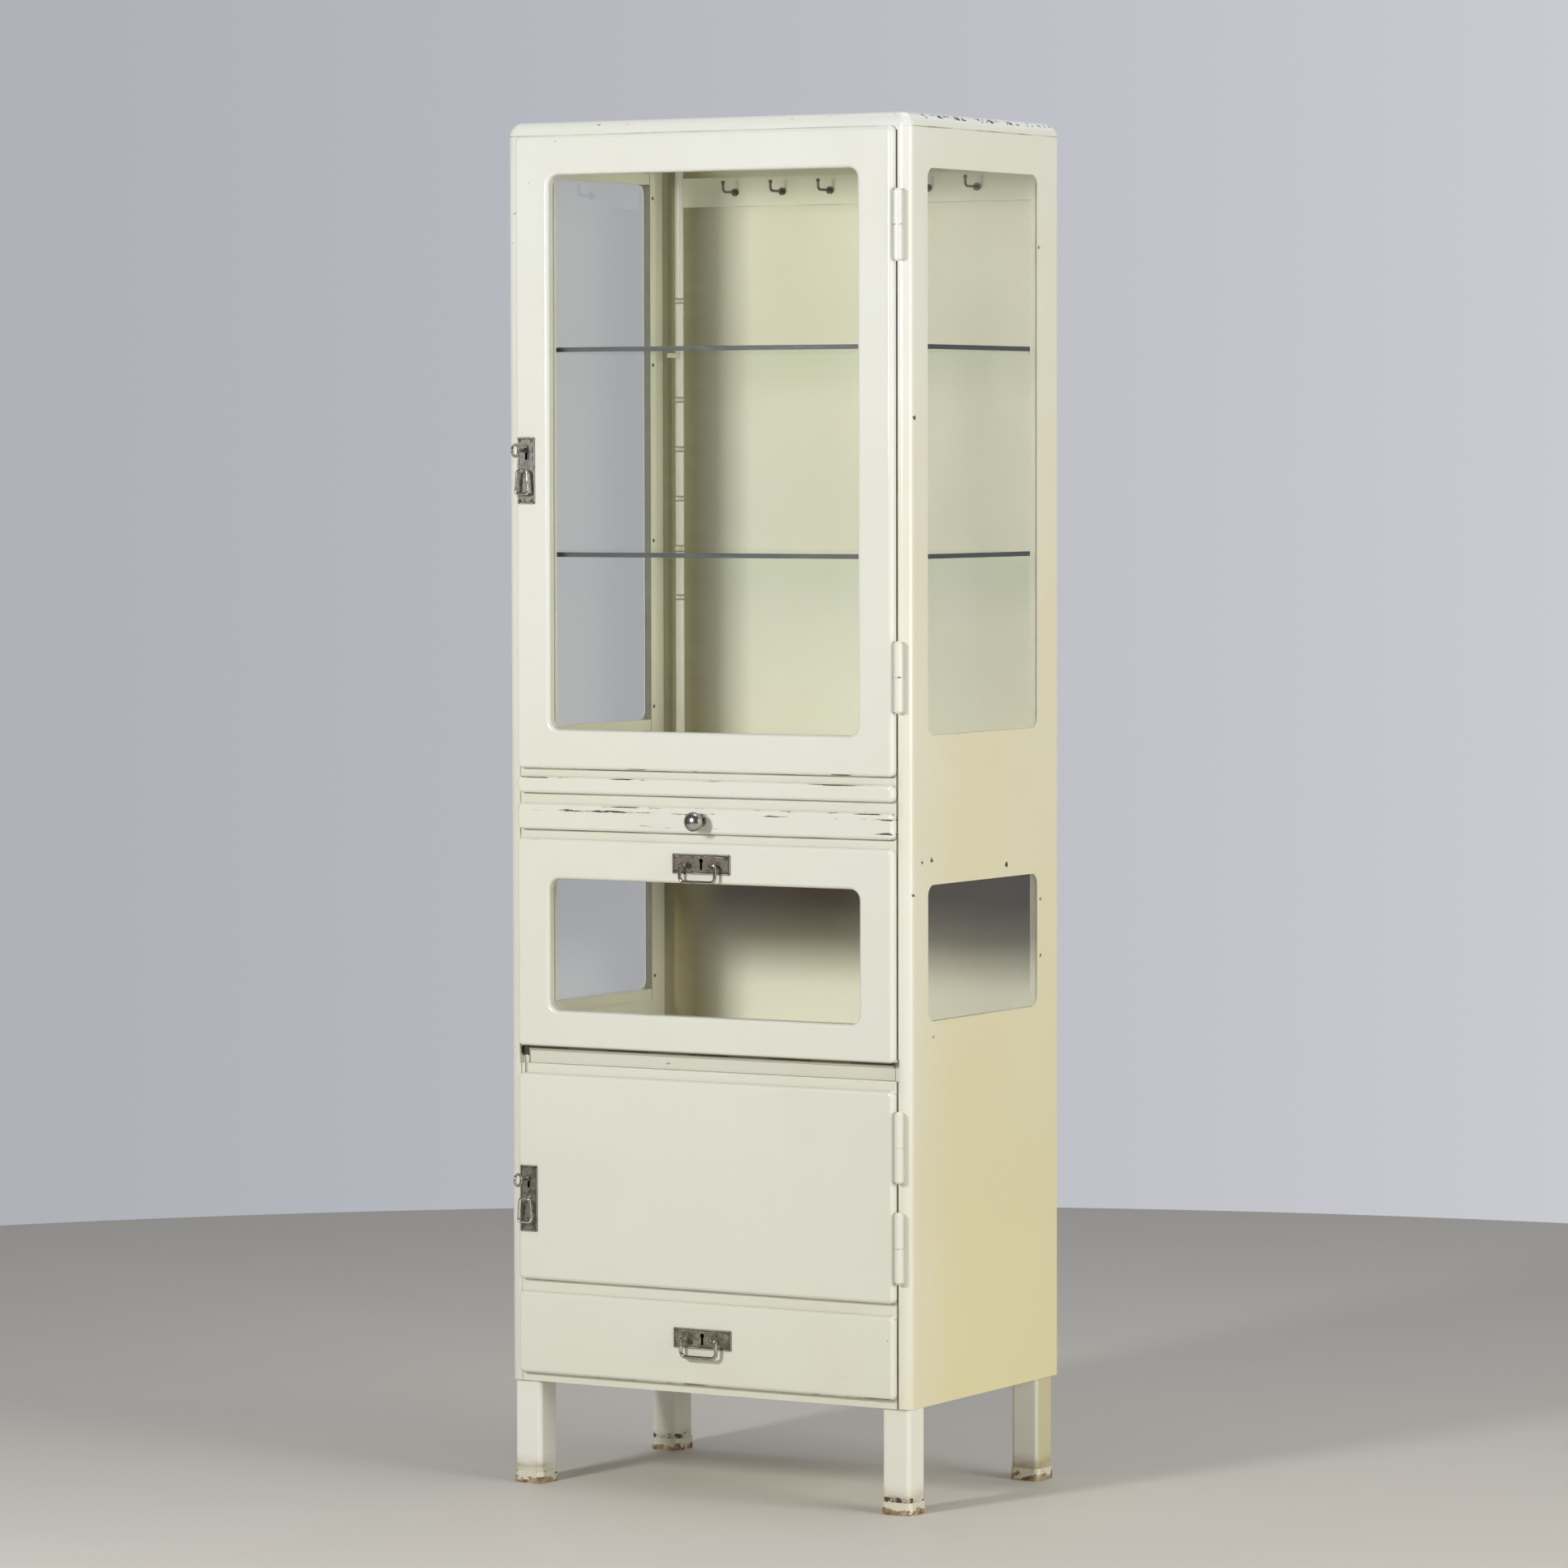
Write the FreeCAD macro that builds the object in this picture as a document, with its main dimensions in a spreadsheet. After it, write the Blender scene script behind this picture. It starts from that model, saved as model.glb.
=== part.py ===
import FreeCAD, Part
import math
import os
import re
import Sketcher

# Medical cabinet: an enamelled sheet-steel vitrine on four legs. Millimetres, +X to the right,
# +Y to the back, +Z up. The origin is on the floor, under the middle of the whole outline.

SIZES = {
    # Carcass
    "cabinet_width": 594,
    "cabinet_depth": 384,
    "cabinet_height": 1750,
    "leg_height": 134,
    "sheet": 1.5,
    "corner_radius": 13,
    "roof_radius": 18,
    "rail_depth": 12,
    "back_flange": 14,
    "back_corner_radius": 2,
    "fit_gap": 0.3,
    "overrun": 5,
    # Fronts, from the floor up: what shows of each rail and the height of each front
    "front_margin": 19.5,
    "front_proud": 11,
    "front_gap": 0.5,
    "front_edge_radius": 5,
    "front_corner_radius": 7,
    "overlay": 4.5,
    "bottom_rail_show": 11.4,
    "drawer_front_height": 105,
    "drawer_rail_show": 16.2,
    "lower_door_height": 266,
    "lower_rail_show": 11.8,
    "recess_height": 16,
    "hinge_gap": 7.1,
    "flap_height": 267.5,
    "flap_rail_show": 11.4,
    "tray_front_height": 33.6,
    "middle_rail_show": 13.2,
    "shelf_front_height": 22,
    "upper_rail_show": 9.6,
    "top_margin": 18.2,
    # Rebated door pans
    "rebate_gap": 2.5,
    "rebate_depth": 10,
    "rear_flange": 12,
    # Windows in the doors and sides
    "door_window_margin": 50,
    "flap_window_side": 48.5,
    "flap_window_bottom": 46.8,
    "flap_window_top": 51.6,
    "side_window_front": 45,
    "side_window_back": 53,
    "side_window_bottom": 49,
    "side_window_top": 47.2,
    "window_radius": 14,
    "lip_wall": 6,
    "seat_width": 14,
    "seat_back": 2,
    "glass": 3,
    "glass_overlap": 6,
    "bead_thickness": 8,
    "side_bead_thickness": 11,
    # Flap hinge
    "recess_margin": 16,
    "recess_depth": 10,
    "leaf_thickness": 1.2,
    "flap_barrel_radius": 2.5,
    "flap_pin_radius": 1.2,
    "flap_knuckle_length": 60,
    "ledge_gap": 0.3,
    "running_gap": 0.05,
    "knuckle_gap": 0.3,
    # Door hinges: two lift-off barrels on each side-hung door
    "barrel_radius": 6,
    "barrel_length": 90,
    "barrel_gap": 0.4,
    "barrel_stand_off": 6.4,
    "hinge_pin_radius": 3,
    "weld_pad": 3,
    "upper_hinge_from_top": 122,
    "lower_hinge_from_bottom": 124,
    "small_hinge_from_top": 70,
    "small_hinge_from_bottom": 70,
    # Shelves and their uprights
    "upright_radius": 6,
    "upright_tongue": 11,
    "front_tongue": 3,
    "tongue_thickness": 2,
    "upright_offset": 9.5,
    "upright_top_gap": 48,
    "notch_pitch": 65.5,
    "notch_height": 6,
    "lowest_notch": 204,
    "shelf_glass": 6,
    "shelf_side_gap": 12,
    "shelf_front_gap": 22,
    "shelf_back_gap": 12,
    "shelf_corner_radius": 4,
    "support_width": 8,
    "support_reach": 20,
    "support_thickness": 3,
    "support_drop": 6.8,
    # Hook rail
    "hook_rail_height": 39,
    "hook_rail_thickness": 2,
    "hook_rail_top_gap": 59,
    "hook_pitch": 72.4,
    "hook_wire_radius": 1.75,
    "hook_reach": 26,
    "hook_bend": 6,
    "hook_rise": 6,
    "hook_tip_radius": 2.6,
    "hook_boss_radius": 5,
    "hook_boss_length": 3,
    "hook_drop": 20,
    # Runners, pull-out shelf, tray and drawer
    "runner_reach": 36,
    "runner_height": 9,
    "slide_margin": 29,
    "slide_back_gap": 32,
    "shelf_flange": 8,
    "tray_wall_height": 19,
    "drawer_side_gap": 2,
    "drawer_lap": 15.5,
    "drawer_wall_height": 82,
    "drawer_back_gap": 22,
    "slide_lift": 1.8,
    # Lock furniture
    "plate_width": 26,
    "plate_length": 85.5,
    "plate_thickness": 1.2,
    "plate_corner": 1.5,
    "plate_from_edge": 4,
    "upper_plate_height": 1305.5,
    "lower_plate_height": 371,
    "keyhole_radius": 3,
    "keyhole_slot": 3.4,
    "keyhole_length": 15,
    "keyhole_offset": 25.8,
    "flap_plate_drop": 26.5,
    "drawer_plate_drop": 45,
    "post_radius": 2.6,
    "post_foot_radius": 4.5,
    "post_foot_height": 1.2,
    "post_ball_radius": 3.6,
    "post_reach": 9.5,
    "ring_wire_radius": 2,
    "ring_top_width": 14,
    "ring_bottom_width": 19,
    "ring_drop": 29.5,
    "ring_top_bend": 3,
    "ring_bottom_bend": 4,
    "bail_wire_radius": 2.25,
    "bail_post_spacing": 38,
    "bail_width": 52,
    "bail_drop": 22.5,
    "bail_top_bend": 3,
    "bail_bottom_bend": 7,
    # Locks and keys
    "case_width": 25,
    "case_height": 50,
    "case_wall": 1.5,
    "key_reach": 34,
    "key_bow_radius": 7.5,
    "key_bow_wire": 1.7,
    "key_shank_radius": 2.2,
    "key_collar_radius": 3.4,
    "key_collar_length": 2.5,
    "key_collar_gap": 1,
    "key_bit_length": 6,
    "key_bit_width": 4.5,
    "key_bit_thickness": 2.4,
    "key_tip_gap": 0.5,
    "bolt_thickness": 3.5,
    "bolt_height": 16,
    "bolt_length": 22,
    "bolt_back_gap": 0.7,
    "slot_gap": 1,
    # Knob of the tray
    "knob_radius": 12.5,
    "knob_half_depth": 9.5,
    "knob_stand_off": 20,
    "knob_neck_radius": 4.5,
    "knob_base_radius": 7.5,
    "knob_base_height": 3,
    "knob_stud_radius": 2,
    "knob_rivet_radius": 4,
    "knob_rivet_height": 1.2,
    # Legs and feet
    "leg_side": 40,
    "leg_inset": 4,
    "leg_corner": 6,
    "foot_height": 16,
    "foot_wall": 1.5,
    "foot_sole": 3,
    "foot_gap": 0.1,
}

HOOK_COUNT = 6
NOTCH_COUNT = 7
SHELF_NOTCHES = (1, 5)
KNUCKLE_COUNT = 9

# Places and lengths that follow from the driving sizes, each an expression of them.
DERIVED = {
    "front_reach": "front_proud + plate_thickness + key_reach",
    "front_y": "front_reach/2 - cabinet_depth/2",
    "back_y": "front_reach/2 + cabinet_depth/2",
    "half_width": "cabinet_width/2",
    "inner_half": "cabinet_width/2 - sheet",
    "front_width": "cabinet_width - 2*front_margin",
    "opening_half": "front_width/2 - overlay",
    "recess_half_width": "cabinet_width/2 - recess_margin",
    "slide_half_width": "cabinet_width/2 - slide_margin",
    "drawer_half_width": "slide_half_width - drawer_side_gap",
    "face_y": "front_y - front_proud",
    "rear_y": "front_y - front_gap",
    "rail_back_y": "front_y + rail_depth",
    "back_inner_y": "back_y - 2*sheet",
    "drawer_bottom": "leg_height + bottom_rail_show",
    "drawer_top": "drawer_bottom + drawer_front_height",
    "lower_door_bottom": "drawer_top + drawer_rail_show",
    "lower_door_top": "lower_door_bottom + lower_door_height",
    "recess_bottom": "lower_door_top + lower_rail_show",
    "recess_top": "recess_bottom + recess_height",
    "flap_bottom": "recess_top + hinge_gap",
    "flap_top": "flap_bottom + flap_height",
    "tray_bottom": "flap_top + flap_rail_show",
    "tray_top": "tray_bottom + tray_front_height",
    "shelf_bottom": "tray_top + middle_rail_show",
    "shelf_top": "shelf_bottom + shelf_front_height",
    "upper_door_bottom": "shelf_top + upper_rail_show",
    "upper_door_top": "cabinet_height - top_margin",
    "seam_z": "upper_door_top - overlay",
    "flap_floor_top": "flap_bottom - front_gap",
    "upper_floor_top": "upper_door_bottom + overlay",
    "upper_window_bottom": "upper_door_bottom + door_window_margin",
    "upper_window_top": "upper_door_top - door_window_margin",
    "side_lower_bottom": "flap_bottom + side_window_bottom",
    "side_lower_top": "flap_top - side_window_top",
    "hinge_x": "front_width/2 + barrel_gap + barrel_radius",
    "hinge_y": "front_y - barrel_stand_off",
    "flap_hinge_y": "front_y + recess_depth - flap_barrel_radius",
    "flap_hinge_z": "recess_bottom + ledge_gap + flap_hinge_y - face_y",
    "plate_y": "face_y - plate_thickness",
    "pivot_y": "plate_y - post_reach",
    "door_plate_x": "plate_width/2 + plate_from_edge - front_width/2",
    "flap_plate_z": "flap_top - flap_plate_drop",
    "drawer_plate_z": "drawer_top - drawer_plate_drop",
    "lock_x": "door_plate_x",
    "case_left": "rebate_gap + sheet - opening_half",
    "case_front_y": "face_y + sheet",
    "case_back_y": "front_y + rebate_depth - sheet",
    "bolt_y": "case_back_y - case_wall - bolt_back_gap - bolt_thickness",
    "upper_lock_z": "upper_plate_height + keyhole_offset",
    "lower_lock_z": "lower_plate_height + keyhole_offset",
    "flap_key_z": "flap_plate_z + keyhole_length/2 - keyhole_radius",
    "drawer_key_z": "drawer_plate_z + keyhole_length/2 - keyhole_radius",
    "flap_step_top": "flap_top - overlay - rebate_gap",
    "drawer_case_top": "drawer_plate_z + case_width/2",
    "notch_z": "upper_floor_top + lowest_notch",
    "rear_rest_x": "inner_half - upright_offset - upright_tongue - upright_radius",
    "front_rest_y": "front_y + corner_radius + fit_gap + front_tongue + upright_radius",
    "foot_side": "leg_side + 2*foot_gap + 2*foot_wall",
}

doc = FreeCAD.newDocument("medical_cabinet")
sheet_object = doc.addObject("Spreadsheet::Sheet", "Sizes")
for row, (alias, number) in enumerate(SIZES.items(), start=1):
    sheet_object.set(f"A{row}", alias)
    sheet_object.set(f"B{row}", str(number))
    sheet_object.setAlias(f"B{row}", alias)
doc.recompute()

WORD = re.compile(r"[a-z][a-z_]*[a-z]")
NODES = []


def size(text):
    """An expression in the names above, written out in cells of the spreadsheet."""

    def spell(found):
        word = found.group(0)
        if word in DERIVED:
            return "(" + size(DERIVED[word]) + ")"
        if word in SIZES:
            return "Sizes." + word
        return word

    return WORD.sub(spell, text)


def number(text):
    """The present value of such an expression."""
    return float(sheet_object.evalExpression(size(text)))


def bind(thing, **expressions):
    """Ties properties of an object to expressions."""
    for name, text in expressions.items():
        thing.setExpression(name, size(text))
    return thing


def put(thing, x="0", y="0", z="0"):
    """Ties the place of an object to expressions."""
    for axis, text in zip("xyz", (x, y, z)):
        thing.setExpression(f"Placement.Base.{axis}", size(text))
    return thing


def turn(thing, axis, degrees):
    """Turns an object about an axis through its own origin."""
    rotation = FreeCAD.Rotation(FreeCAD.Vector(*axis), degrees)
    thing.Placement = FreeCAD.Placement(FreeCAD.Vector(), rotation * thing.Placement.Rotation)
    return thing


def box(name, x, y, z):
    """A box between two places along each axis."""
    made = doc.addObject("Part::Box", name)
    lengths = [f"({high}) - ({low})" for low, high in (x, y, z)]
    bind(made, Length=lengths[0], Width=lengths[1], Height=lengths[2])
    return put(made, x[0], y[0], z[0])


def cylinder(name, radius, length, axis, place):
    """A cylinder that starts at a place and runs along +X, -Y or +Z."""
    made = doc.addObject("Part::Cylinder", name)
    bind(made, Radius=radius, Height=length)
    if axis == "x":
        turn(made, (0, 1, 0), 90)
    if axis == "-y":
        turn(made, (1, 0, 0), 90)
    return put(made, *place)


def ball(name, radius, place):
    made = doc.addObject("Part::Sphere", name)
    bind(made, Radius=radius)
    return put(made, *place)


def fuse(name, *pieces):
    made = doc.addObject("Part::MultiFuse", name)
    made.Shapes = list(pieces)
    made.Refine = True
    return made


def cut(name, base, *tools):
    made = doc.addObject("Part::Cut", name)
    made.Base = base
    made.Tool = tools[0] if len(tools) == 1 else fuse(name + "_tools", *tools)
    return made


def common(name, first, second):
    made = doc.addObject("Part::Common", name)
    made.Base = first
    made.Tool = second
    return made


def mirrored(name, source):
    """The same piece on the other side of the middle plane."""
    made = doc.addObject("Part::Mirroring", name)
    made.Source = source
    made.Normal = FreeCAD.Vector(1, 0, 0)
    return made


def group(name, pieces):
    made = doc.addObject("Part::Compound", name)
    made.Links = list(pieces)
    return made


def node(label, made):
    """Names a finished sub-part. The label is also the name of its file."""
    made.Label = label
    NODES.append(made)
    return made


# Sketched bodies

def plane_of(body, role):
    return next(part for part in body.Origin.OriginFeatures if part.Role == role)


def sketch_on(body, role, name):
    sketch = body.newObject("Sketcher::SketchObject", name)
    sketch.AttachmentSupport = [(plane_of(body, role), "")]
    sketch.MapMode = "FlatFace"
    return sketch


def named_constraint(sketch, name, expression, constraint):
    index = sketch.addConstraint(constraint)
    sketch.renameConstraint(index, name)
    sketch.setExpression("Constraints." + name, size(expression))


def rounded_rectangle(sketch, width, height, radius):
    """A rectangle centred on the sketch's origin, with tangent arcs for its corners."""
    half_w, half_h, round_by = number(width) / 2, number(height) / 2, number(radius)
    flat_w, flat_h = half_w - round_by, half_h - round_by
    up = FreeCAD.Vector(0, 0, 1)
    quarter = math.radians(90)
    sides = [
        ((-flat_w, -half_h), (flat_w, -half_h)),
        ((half_w, -flat_h), (half_w, flat_h)),
        ((flat_w, half_h), (-flat_w, half_h)),
        ((-half_w, flat_h), (-half_w, -flat_h)),
    ]
    centres = [(flat_w, -flat_h), (flat_w, flat_h), (-flat_w, flat_h), (-flat_w, -flat_h)]
    for start, end in sides:
        sketch.addGeometry(Part.LineSegment(FreeCAD.Vector(*start), FreeCAD.Vector(*end)))
    for turn_number, centre in enumerate(centres):
        circle = Part.Circle(FreeCAD.Vector(*centre), up, round_by)
        start_angle = (turn_number - 1) * quarter
        sketch.addGeometry(Part.ArcOfCircle(circle, start_angle, start_angle + quarter))
    for side in range(4):
        arc = 4 + side
        sketch.addConstraint(Sketcher.Constraint("Tangent", side, 2, arc, 1))
        sketch.addConstraint(Sketcher.Constraint("Tangent", arc, 2, (side + 1) % 4, 1))
    for side, rule in enumerate(("Horizontal", "Vertical", "Horizontal", "Vertical")):
        sketch.addConstraint(Sketcher.Constraint(rule, side))
    for arc in (5, 6, 7):
        sketch.addConstraint(Sketcher.Constraint("Equal", 4, arc))
    sketch.addConstraint(Sketcher.Constraint("Symmetric", 4, 3, 6, 3, -1, 1))
    named_constraint(sketch, "radius", radius, Sketcher.Constraint("Radius", 4, round_by))
    named_constraint(
        sketch, "width", width, Sketcher.Constraint("DistanceX", 3, 1, 1, 1, 2 * half_w))
    named_constraint(
        sketch, "height", height, Sketcher.Constraint("DistanceY", 0, 1, 2, 1, 2 * half_h))


def pad(body, sketch, depth):
    made = body.newObject("PartDesign::Pad", sketch.Name + "_pad")
    made.Profile = sketch
    bind(made, Length=depth)
    body.Tip = made
    return made


def pocket(body, sketch, name):
    """A pocket right through the body, both ways from its sketch."""
    made = body.newObject("PartDesign::Pocket", name)
    made.Profile = sketch
    made.Type = "ThroughAll"
    made.Reversed = True
    body.Tip = made
    return made


def rounded_block(name, role, width, height, depth, radius):
    """A plate with rounded corners. Its sketch lies on XY, XZ or YZ, and the plate grows to
    +Z, -Y or +X from there."""
    body = doc.addObject("PartDesign::Body", name)
    sketch = sketch_on(body, role, name + "_outline")
    rounded_rectangle(sketch, width, height, radius)
    pad(body, sketch, depth)
    return body


def edges_on(feature, axis, text):
    """The names of a feature's edges that lie in the plane at that place on an axis."""
    place = number(text)
    close = number("running_gap")
    found = []
    for index, edge in enumerate(feature.Shape.Edges, start=1):
        box_of_edge = edge.BoundBox
        low, high = getattr(box_of_edge, axis + "Min"), getattr(box_of_edge, axis + "Max")
        if abs(low - place) < close and abs(high - place) < close:
            found.append(f"Edge{index}")
    return found


def round_edges(body, name, edges, radius):
    base = body.Tip
    made = body.newObject("PartDesign::Fillet", name)
    made.Base = (base, edges)
    bind(made, Radius=radius)
    body.Tip = made
    return made


# Carcass shell: one folded wrap of sheet. The roof turns down into the sides and the back with a
# wide bend, and the front edges of roof and sides have a smaller one.

def shell_block(name, shrink):
    """The carcass as a solid down to the floor, smaller by a distance on every face."""
    tall = f"cabinet_height - ({shrink})"
    front = rounded_block(
        name + "_front_view", "XZ_Plane", f"cabinet_width - 2*({shrink})", tall,
        f"cabinet_depth - 2*({shrink})", f"roof_radius - ({shrink})")
    doc.recompute()
    round_edges(front, name + "_front_bend",
                edges_on(front, "Y", f"2*({shrink}) - cabinet_depth"),
                f"corner_radius - ({shrink})")
    put(front, "0", f"back_y - ({shrink})", f"({tall})/2")
    side = rounded_block(
        name + "_side_view", "YZ_Plane", "2*cabinet_depth", tall, "cabinet_width + 2*overrun",
        f"roof_radius - ({shrink})")
    put(side, "-half_width - overrun", f"back_y - cabinet_depth - ({shrink})", f"({tall})/2")
    return common(name, front, side)


below = box(
    "space_below", ("-cabinet_width", "cabinet_width"), ("-cabinet_depth", "cabinet_depth"),
    ("-overrun", "leg_height"))
doorway = box(
    "front_doorway", ("-opening_half", "opening_half"),
    ("front_y - overrun", "front_y + rail_depth"), ("0", "seam_z"))
back_opening = box(
    "back_opening", ("back_flange - half_width", "half_width - back_flange"),
    ("back_y - sheet - overrun", "back_y + overrun"), ("0", "seam_z"))
shell = cut(
    "carcass_shell", shell_block("shell_outside", "0"), shell_block("shell_inside", "sheet"),
    below, doorway, back_opening)


def left_region(name, low, high):
    return box(name, ("-cabinet_width", "0"), ("-cabinet_depth", "cabinet_depth"), (low, high))


def side_window_tool(name, bottom, top):
    """A cutter with rounded corners that goes through the left wall."""
    tool = rounded_block(
        name, "YZ_Plane", "cabinet_depth - side_window_front - side_window_back",
        f"({top}) - ({bottom})", "2*overrun", "window_radius")
    middle_y = "(front_y + side_window_front + back_y - side_window_back)/2"
    return put(tool, "-half_width - overrun", middle_y, f"(({top}) + ({bottom}))/2")


# Top: the roof with its rounded edges, its back flange and the strip over the upper door

top_region = box(
    "top_region", ("-cabinet_width", "cabinet_width"), ("-cabinet_depth", "cabinet_depth"),
    ("seam_z", "cabinet_height + overrun"))
top_skin = common("top_skin", shell, top_region)
top_lip = box(
    "top_lip", ("-opening_half", "opening_half"), ("front_y + sheet/2", "rail_back_y"),
    ("seam_z", "seam_z + sheet"))
node("top_panel", fuse("top_panel_solid", top_skin, top_lip))

# Sides: each is a wall, its rounded corner, its back flange and the stile beside the doors

wall = common("left_wall", shell, left_region("left_region", "0", "seam_z"))
stile_return = box(
    "stile_return", ("-opening_half - sheet", "-opening_half"),
    ("front_y + sheet/2", "rail_back_y"), ("leg_height", "seam_z"))
pocket_shell = box(
    "recess_pocket", ("-recess_half_width - sheet", "-opening_half"),
    ("front_y + sheet/2", "front_y + recess_depth + sheet"),
    ("recess_bottom - sheet", "flap_bottom + overlay + sheet"))
pocket_space = box(
    "recess_space", ("-recess_half_width", "overrun - opening_half"),
    ("front_y - overrun", "front_y + recess_depth"),
    ("recess_bottom", "flap_bottom + overlay"))
upper_side_window = side_window_tool(
    "upper_side_window", "upper_window_bottom", "upper_window_top")
lower_side_window = side_window_tool("lower_side_window", "side_lower_bottom", "side_lower_top")
side_blank = cut(
    "side_blank", fuse("side_solid", wall, stile_return, pocket_shell),
    pocket_space, upper_side_window, lower_side_window)


def stile_slot(name, height):
    """The slot in the left stile that a door's bolt shoots into."""
    return box(
        name, ("-opening_half - 2*sheet", "overrun - opening_half"),
        ("bolt_y - slot_gap", "bolt_y + bolt_thickness + slot_gap"),
        (f"{height} - bolt_height/2 - slot_gap", f"{height} + bolt_height/2 + slot_gap"))


node("left_side", cut(
    "left_side_solid", side_blank, stile_slot("upper_slot", "upper_lock_z"),
    stile_slot("lower_slot", "lower_lock_z")))
node("right_side", mirrored("right_side_solid", side_blank))

# Back: a flat sheet inside the flanges of the sides

back = rounded_block(
    "back_sheet", "XZ_Plane", "2*inner_half - 2*fit_gap",
    "cabinet_height - roof_radius - leg_height - sheet - 2*fit_gap", "sheet", "back_corner_radius")
put(back, "0", "back_y - sheet", "(cabinet_height - roof_radius + leg_height + sheet)/2")
node("back_panel", back)


def floor_sheet(label, top):
    """A level sheet from wall to wall."""
    return node(label, box(
        label + "_solid", ("fit_gap - inner_half", "inner_half - fit_gap"),
        ("rail_back_y", "back_inner_y"), (f"{top} - sheet", top)))


floor_sheet("bottom_panel", "leg_height + sheet")
floor_sheet("cupboard_floor", "lower_door_bottom + overlay")
floor_sheet("flap_floor", "flap_floor_top")
floor_sheet("flap_ceiling", "flap_top - overlay + sheet")
floor_sheet("upper_floor", "upper_floor_top")


# Rails: channels of folded sheet welded between the stiles

def rail(name, bottom, top):
    block = box(
        name + "_block", ("-opening_half", "opening_half"), ("front_y", "rail_back_y"),
        (bottom, top))
    space = box(
        name + "_space", ("-opening_half - overrun", "opening_half + overrun"),
        ("front_y + sheet", "rail_back_y + overrun"),
        (f"{bottom} + sheet", f"{top} - sheet"))
    return cut(name + "_channel", block, space)


def bolt_slot(name, bottom):
    """The slot in a rail's lower flange that an upward bolt shoots into."""
    return box(
        name, ("-bolt_height/2 - slot_gap", "bolt_height/2 + slot_gap"),
        ("bolt_y - slot_gap", "bolt_y + bolt_thickness + slot_gap"),
        (f"{bottom} - overrun", f"{bottom} + 2*sheet"))


node("bottom_rail", rail("bottom_rail", "leg_height", "drawer_bottom + overlay"))
node("rail_over_drawer", cut(
    "rail_over_drawer_solid",
    rail("rail_over_drawer", "drawer_top - overlay", "lower_door_bottom + overlay"),
    box("drawer_bolt_slot", ("-bolt_height/2 - slot_gap", "bolt_height/2 + slot_gap"),
        ("front_y + sheet + slot_gap", "front_y + rail_depth - sheet"),
        ("drawer_top - overlay - overrun", "drawer_top - overlay + 2*sheet"))))
node("rail_over_flap", cut(
    "rail_over_flap_solid",
    rail("rail_over_flap", "flap_top - overlay", "tray_bottom + overlay"),
    bolt_slot("flap_bolt_slot", "flap_top - overlay")))
node("rail_over_tray", rail("rail_over_tray", "tray_top - overlay", "shelf_bottom + overlay"))
node("rail_over_shelf", rail("rail_over_shelf", "shelf_top - overlay", "upper_floor_top"))

# Rail under the flap: flush below, set back above to make the ledge that the open flap rests on

recess_face = box(
    "recess_face", ("-opening_half", "opening_half"),
    ("front_y + recess_depth", "front_y + recess_depth + sheet"),
    ("recess_bottom - sheet", "flap_floor_top"))
ledge = box(
    "recess_ledge", ("-opening_half", "opening_half"), ("front_y", "front_y + recess_depth"),
    ("recess_bottom - sheet", "recess_bottom"))
flush_face = box(
    "flush_face", ("-opening_half", "opening_half"), ("front_y", "front_y + sheet"),
    ("lower_door_top - overlay", "recess_bottom"))
flush_lip = box(
    "flush_lip", ("-opening_half", "opening_half"), ("front_y", "rail_back_y"),
    ("lower_door_top - overlay", "lower_door_top - overlay + sheet"))
recess_lip = box(
    "recess_lip", ("-opening_half", "opening_half"), ("front_y + recess_depth", "rail_back_y"),
    ("flap_floor_top - sheet", "flap_floor_top"))
node("rail_under_flap", fuse(
    "rail_under_flap_solid", recess_face, recess_lip, ledge, flush_face, flush_lip))

# Legs: square tube with rounded edges, each in a pressed foot cap

legs = []
feet = []
for side_name, side_sign in (("left", "-"), ("right", "+")):
    for end_name, leg_y in (("front", "front_y + leg_inset + leg_side/2"),
                            ("rear", "back_y - leg_inset - leg_side/2")):
        name = f"{end_name}_{side_name}"
        leg_x = f"0 {side_sign} (half_width - leg_inset - leg_side/2)"
        leg = rounded_block(
            f"leg_{name}_outside", "XY_Plane", "leg_side", "leg_side",
            "leg_height - foot_sole", "leg_corner")
        bore = rounded_block(
            f"leg_{name}_bore", "XY_Plane", "leg_side - 2*sheet", "leg_side - 2*sheet",
            "leg_height + overrun", "leg_corner - sheet")
        put(leg, leg_x, leg_y, "foot_sole")
        put(bore, leg_x, leg_y, "0")
        legs.append(cut(f"leg_{name}_tube", leg, bore))
        cap = rounded_block(
            f"foot_{name}_outside", "XY_Plane", "foot_side", "foot_side", "foot_height",
            "leg_corner + foot_gap + foot_wall")
        well = rounded_block(
            f"foot_{name}_well", "XY_Plane", "leg_side + 2*foot_gap", "leg_side + 2*foot_gap",
            "foot_height", "leg_corner + foot_gap")
        put(cap, leg_x, leg_y, "0")
        put(well, leg_x, leg_y, "foot_sole")
        feet.append(cut(f"foot_{name}_cap", cap, well))
node("legs", group("leg_set", legs))
node("foot_caps", group("foot_cap_set", feet))


# Glazing beads: four mitred strips that clamp a pane, each an L in section

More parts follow.
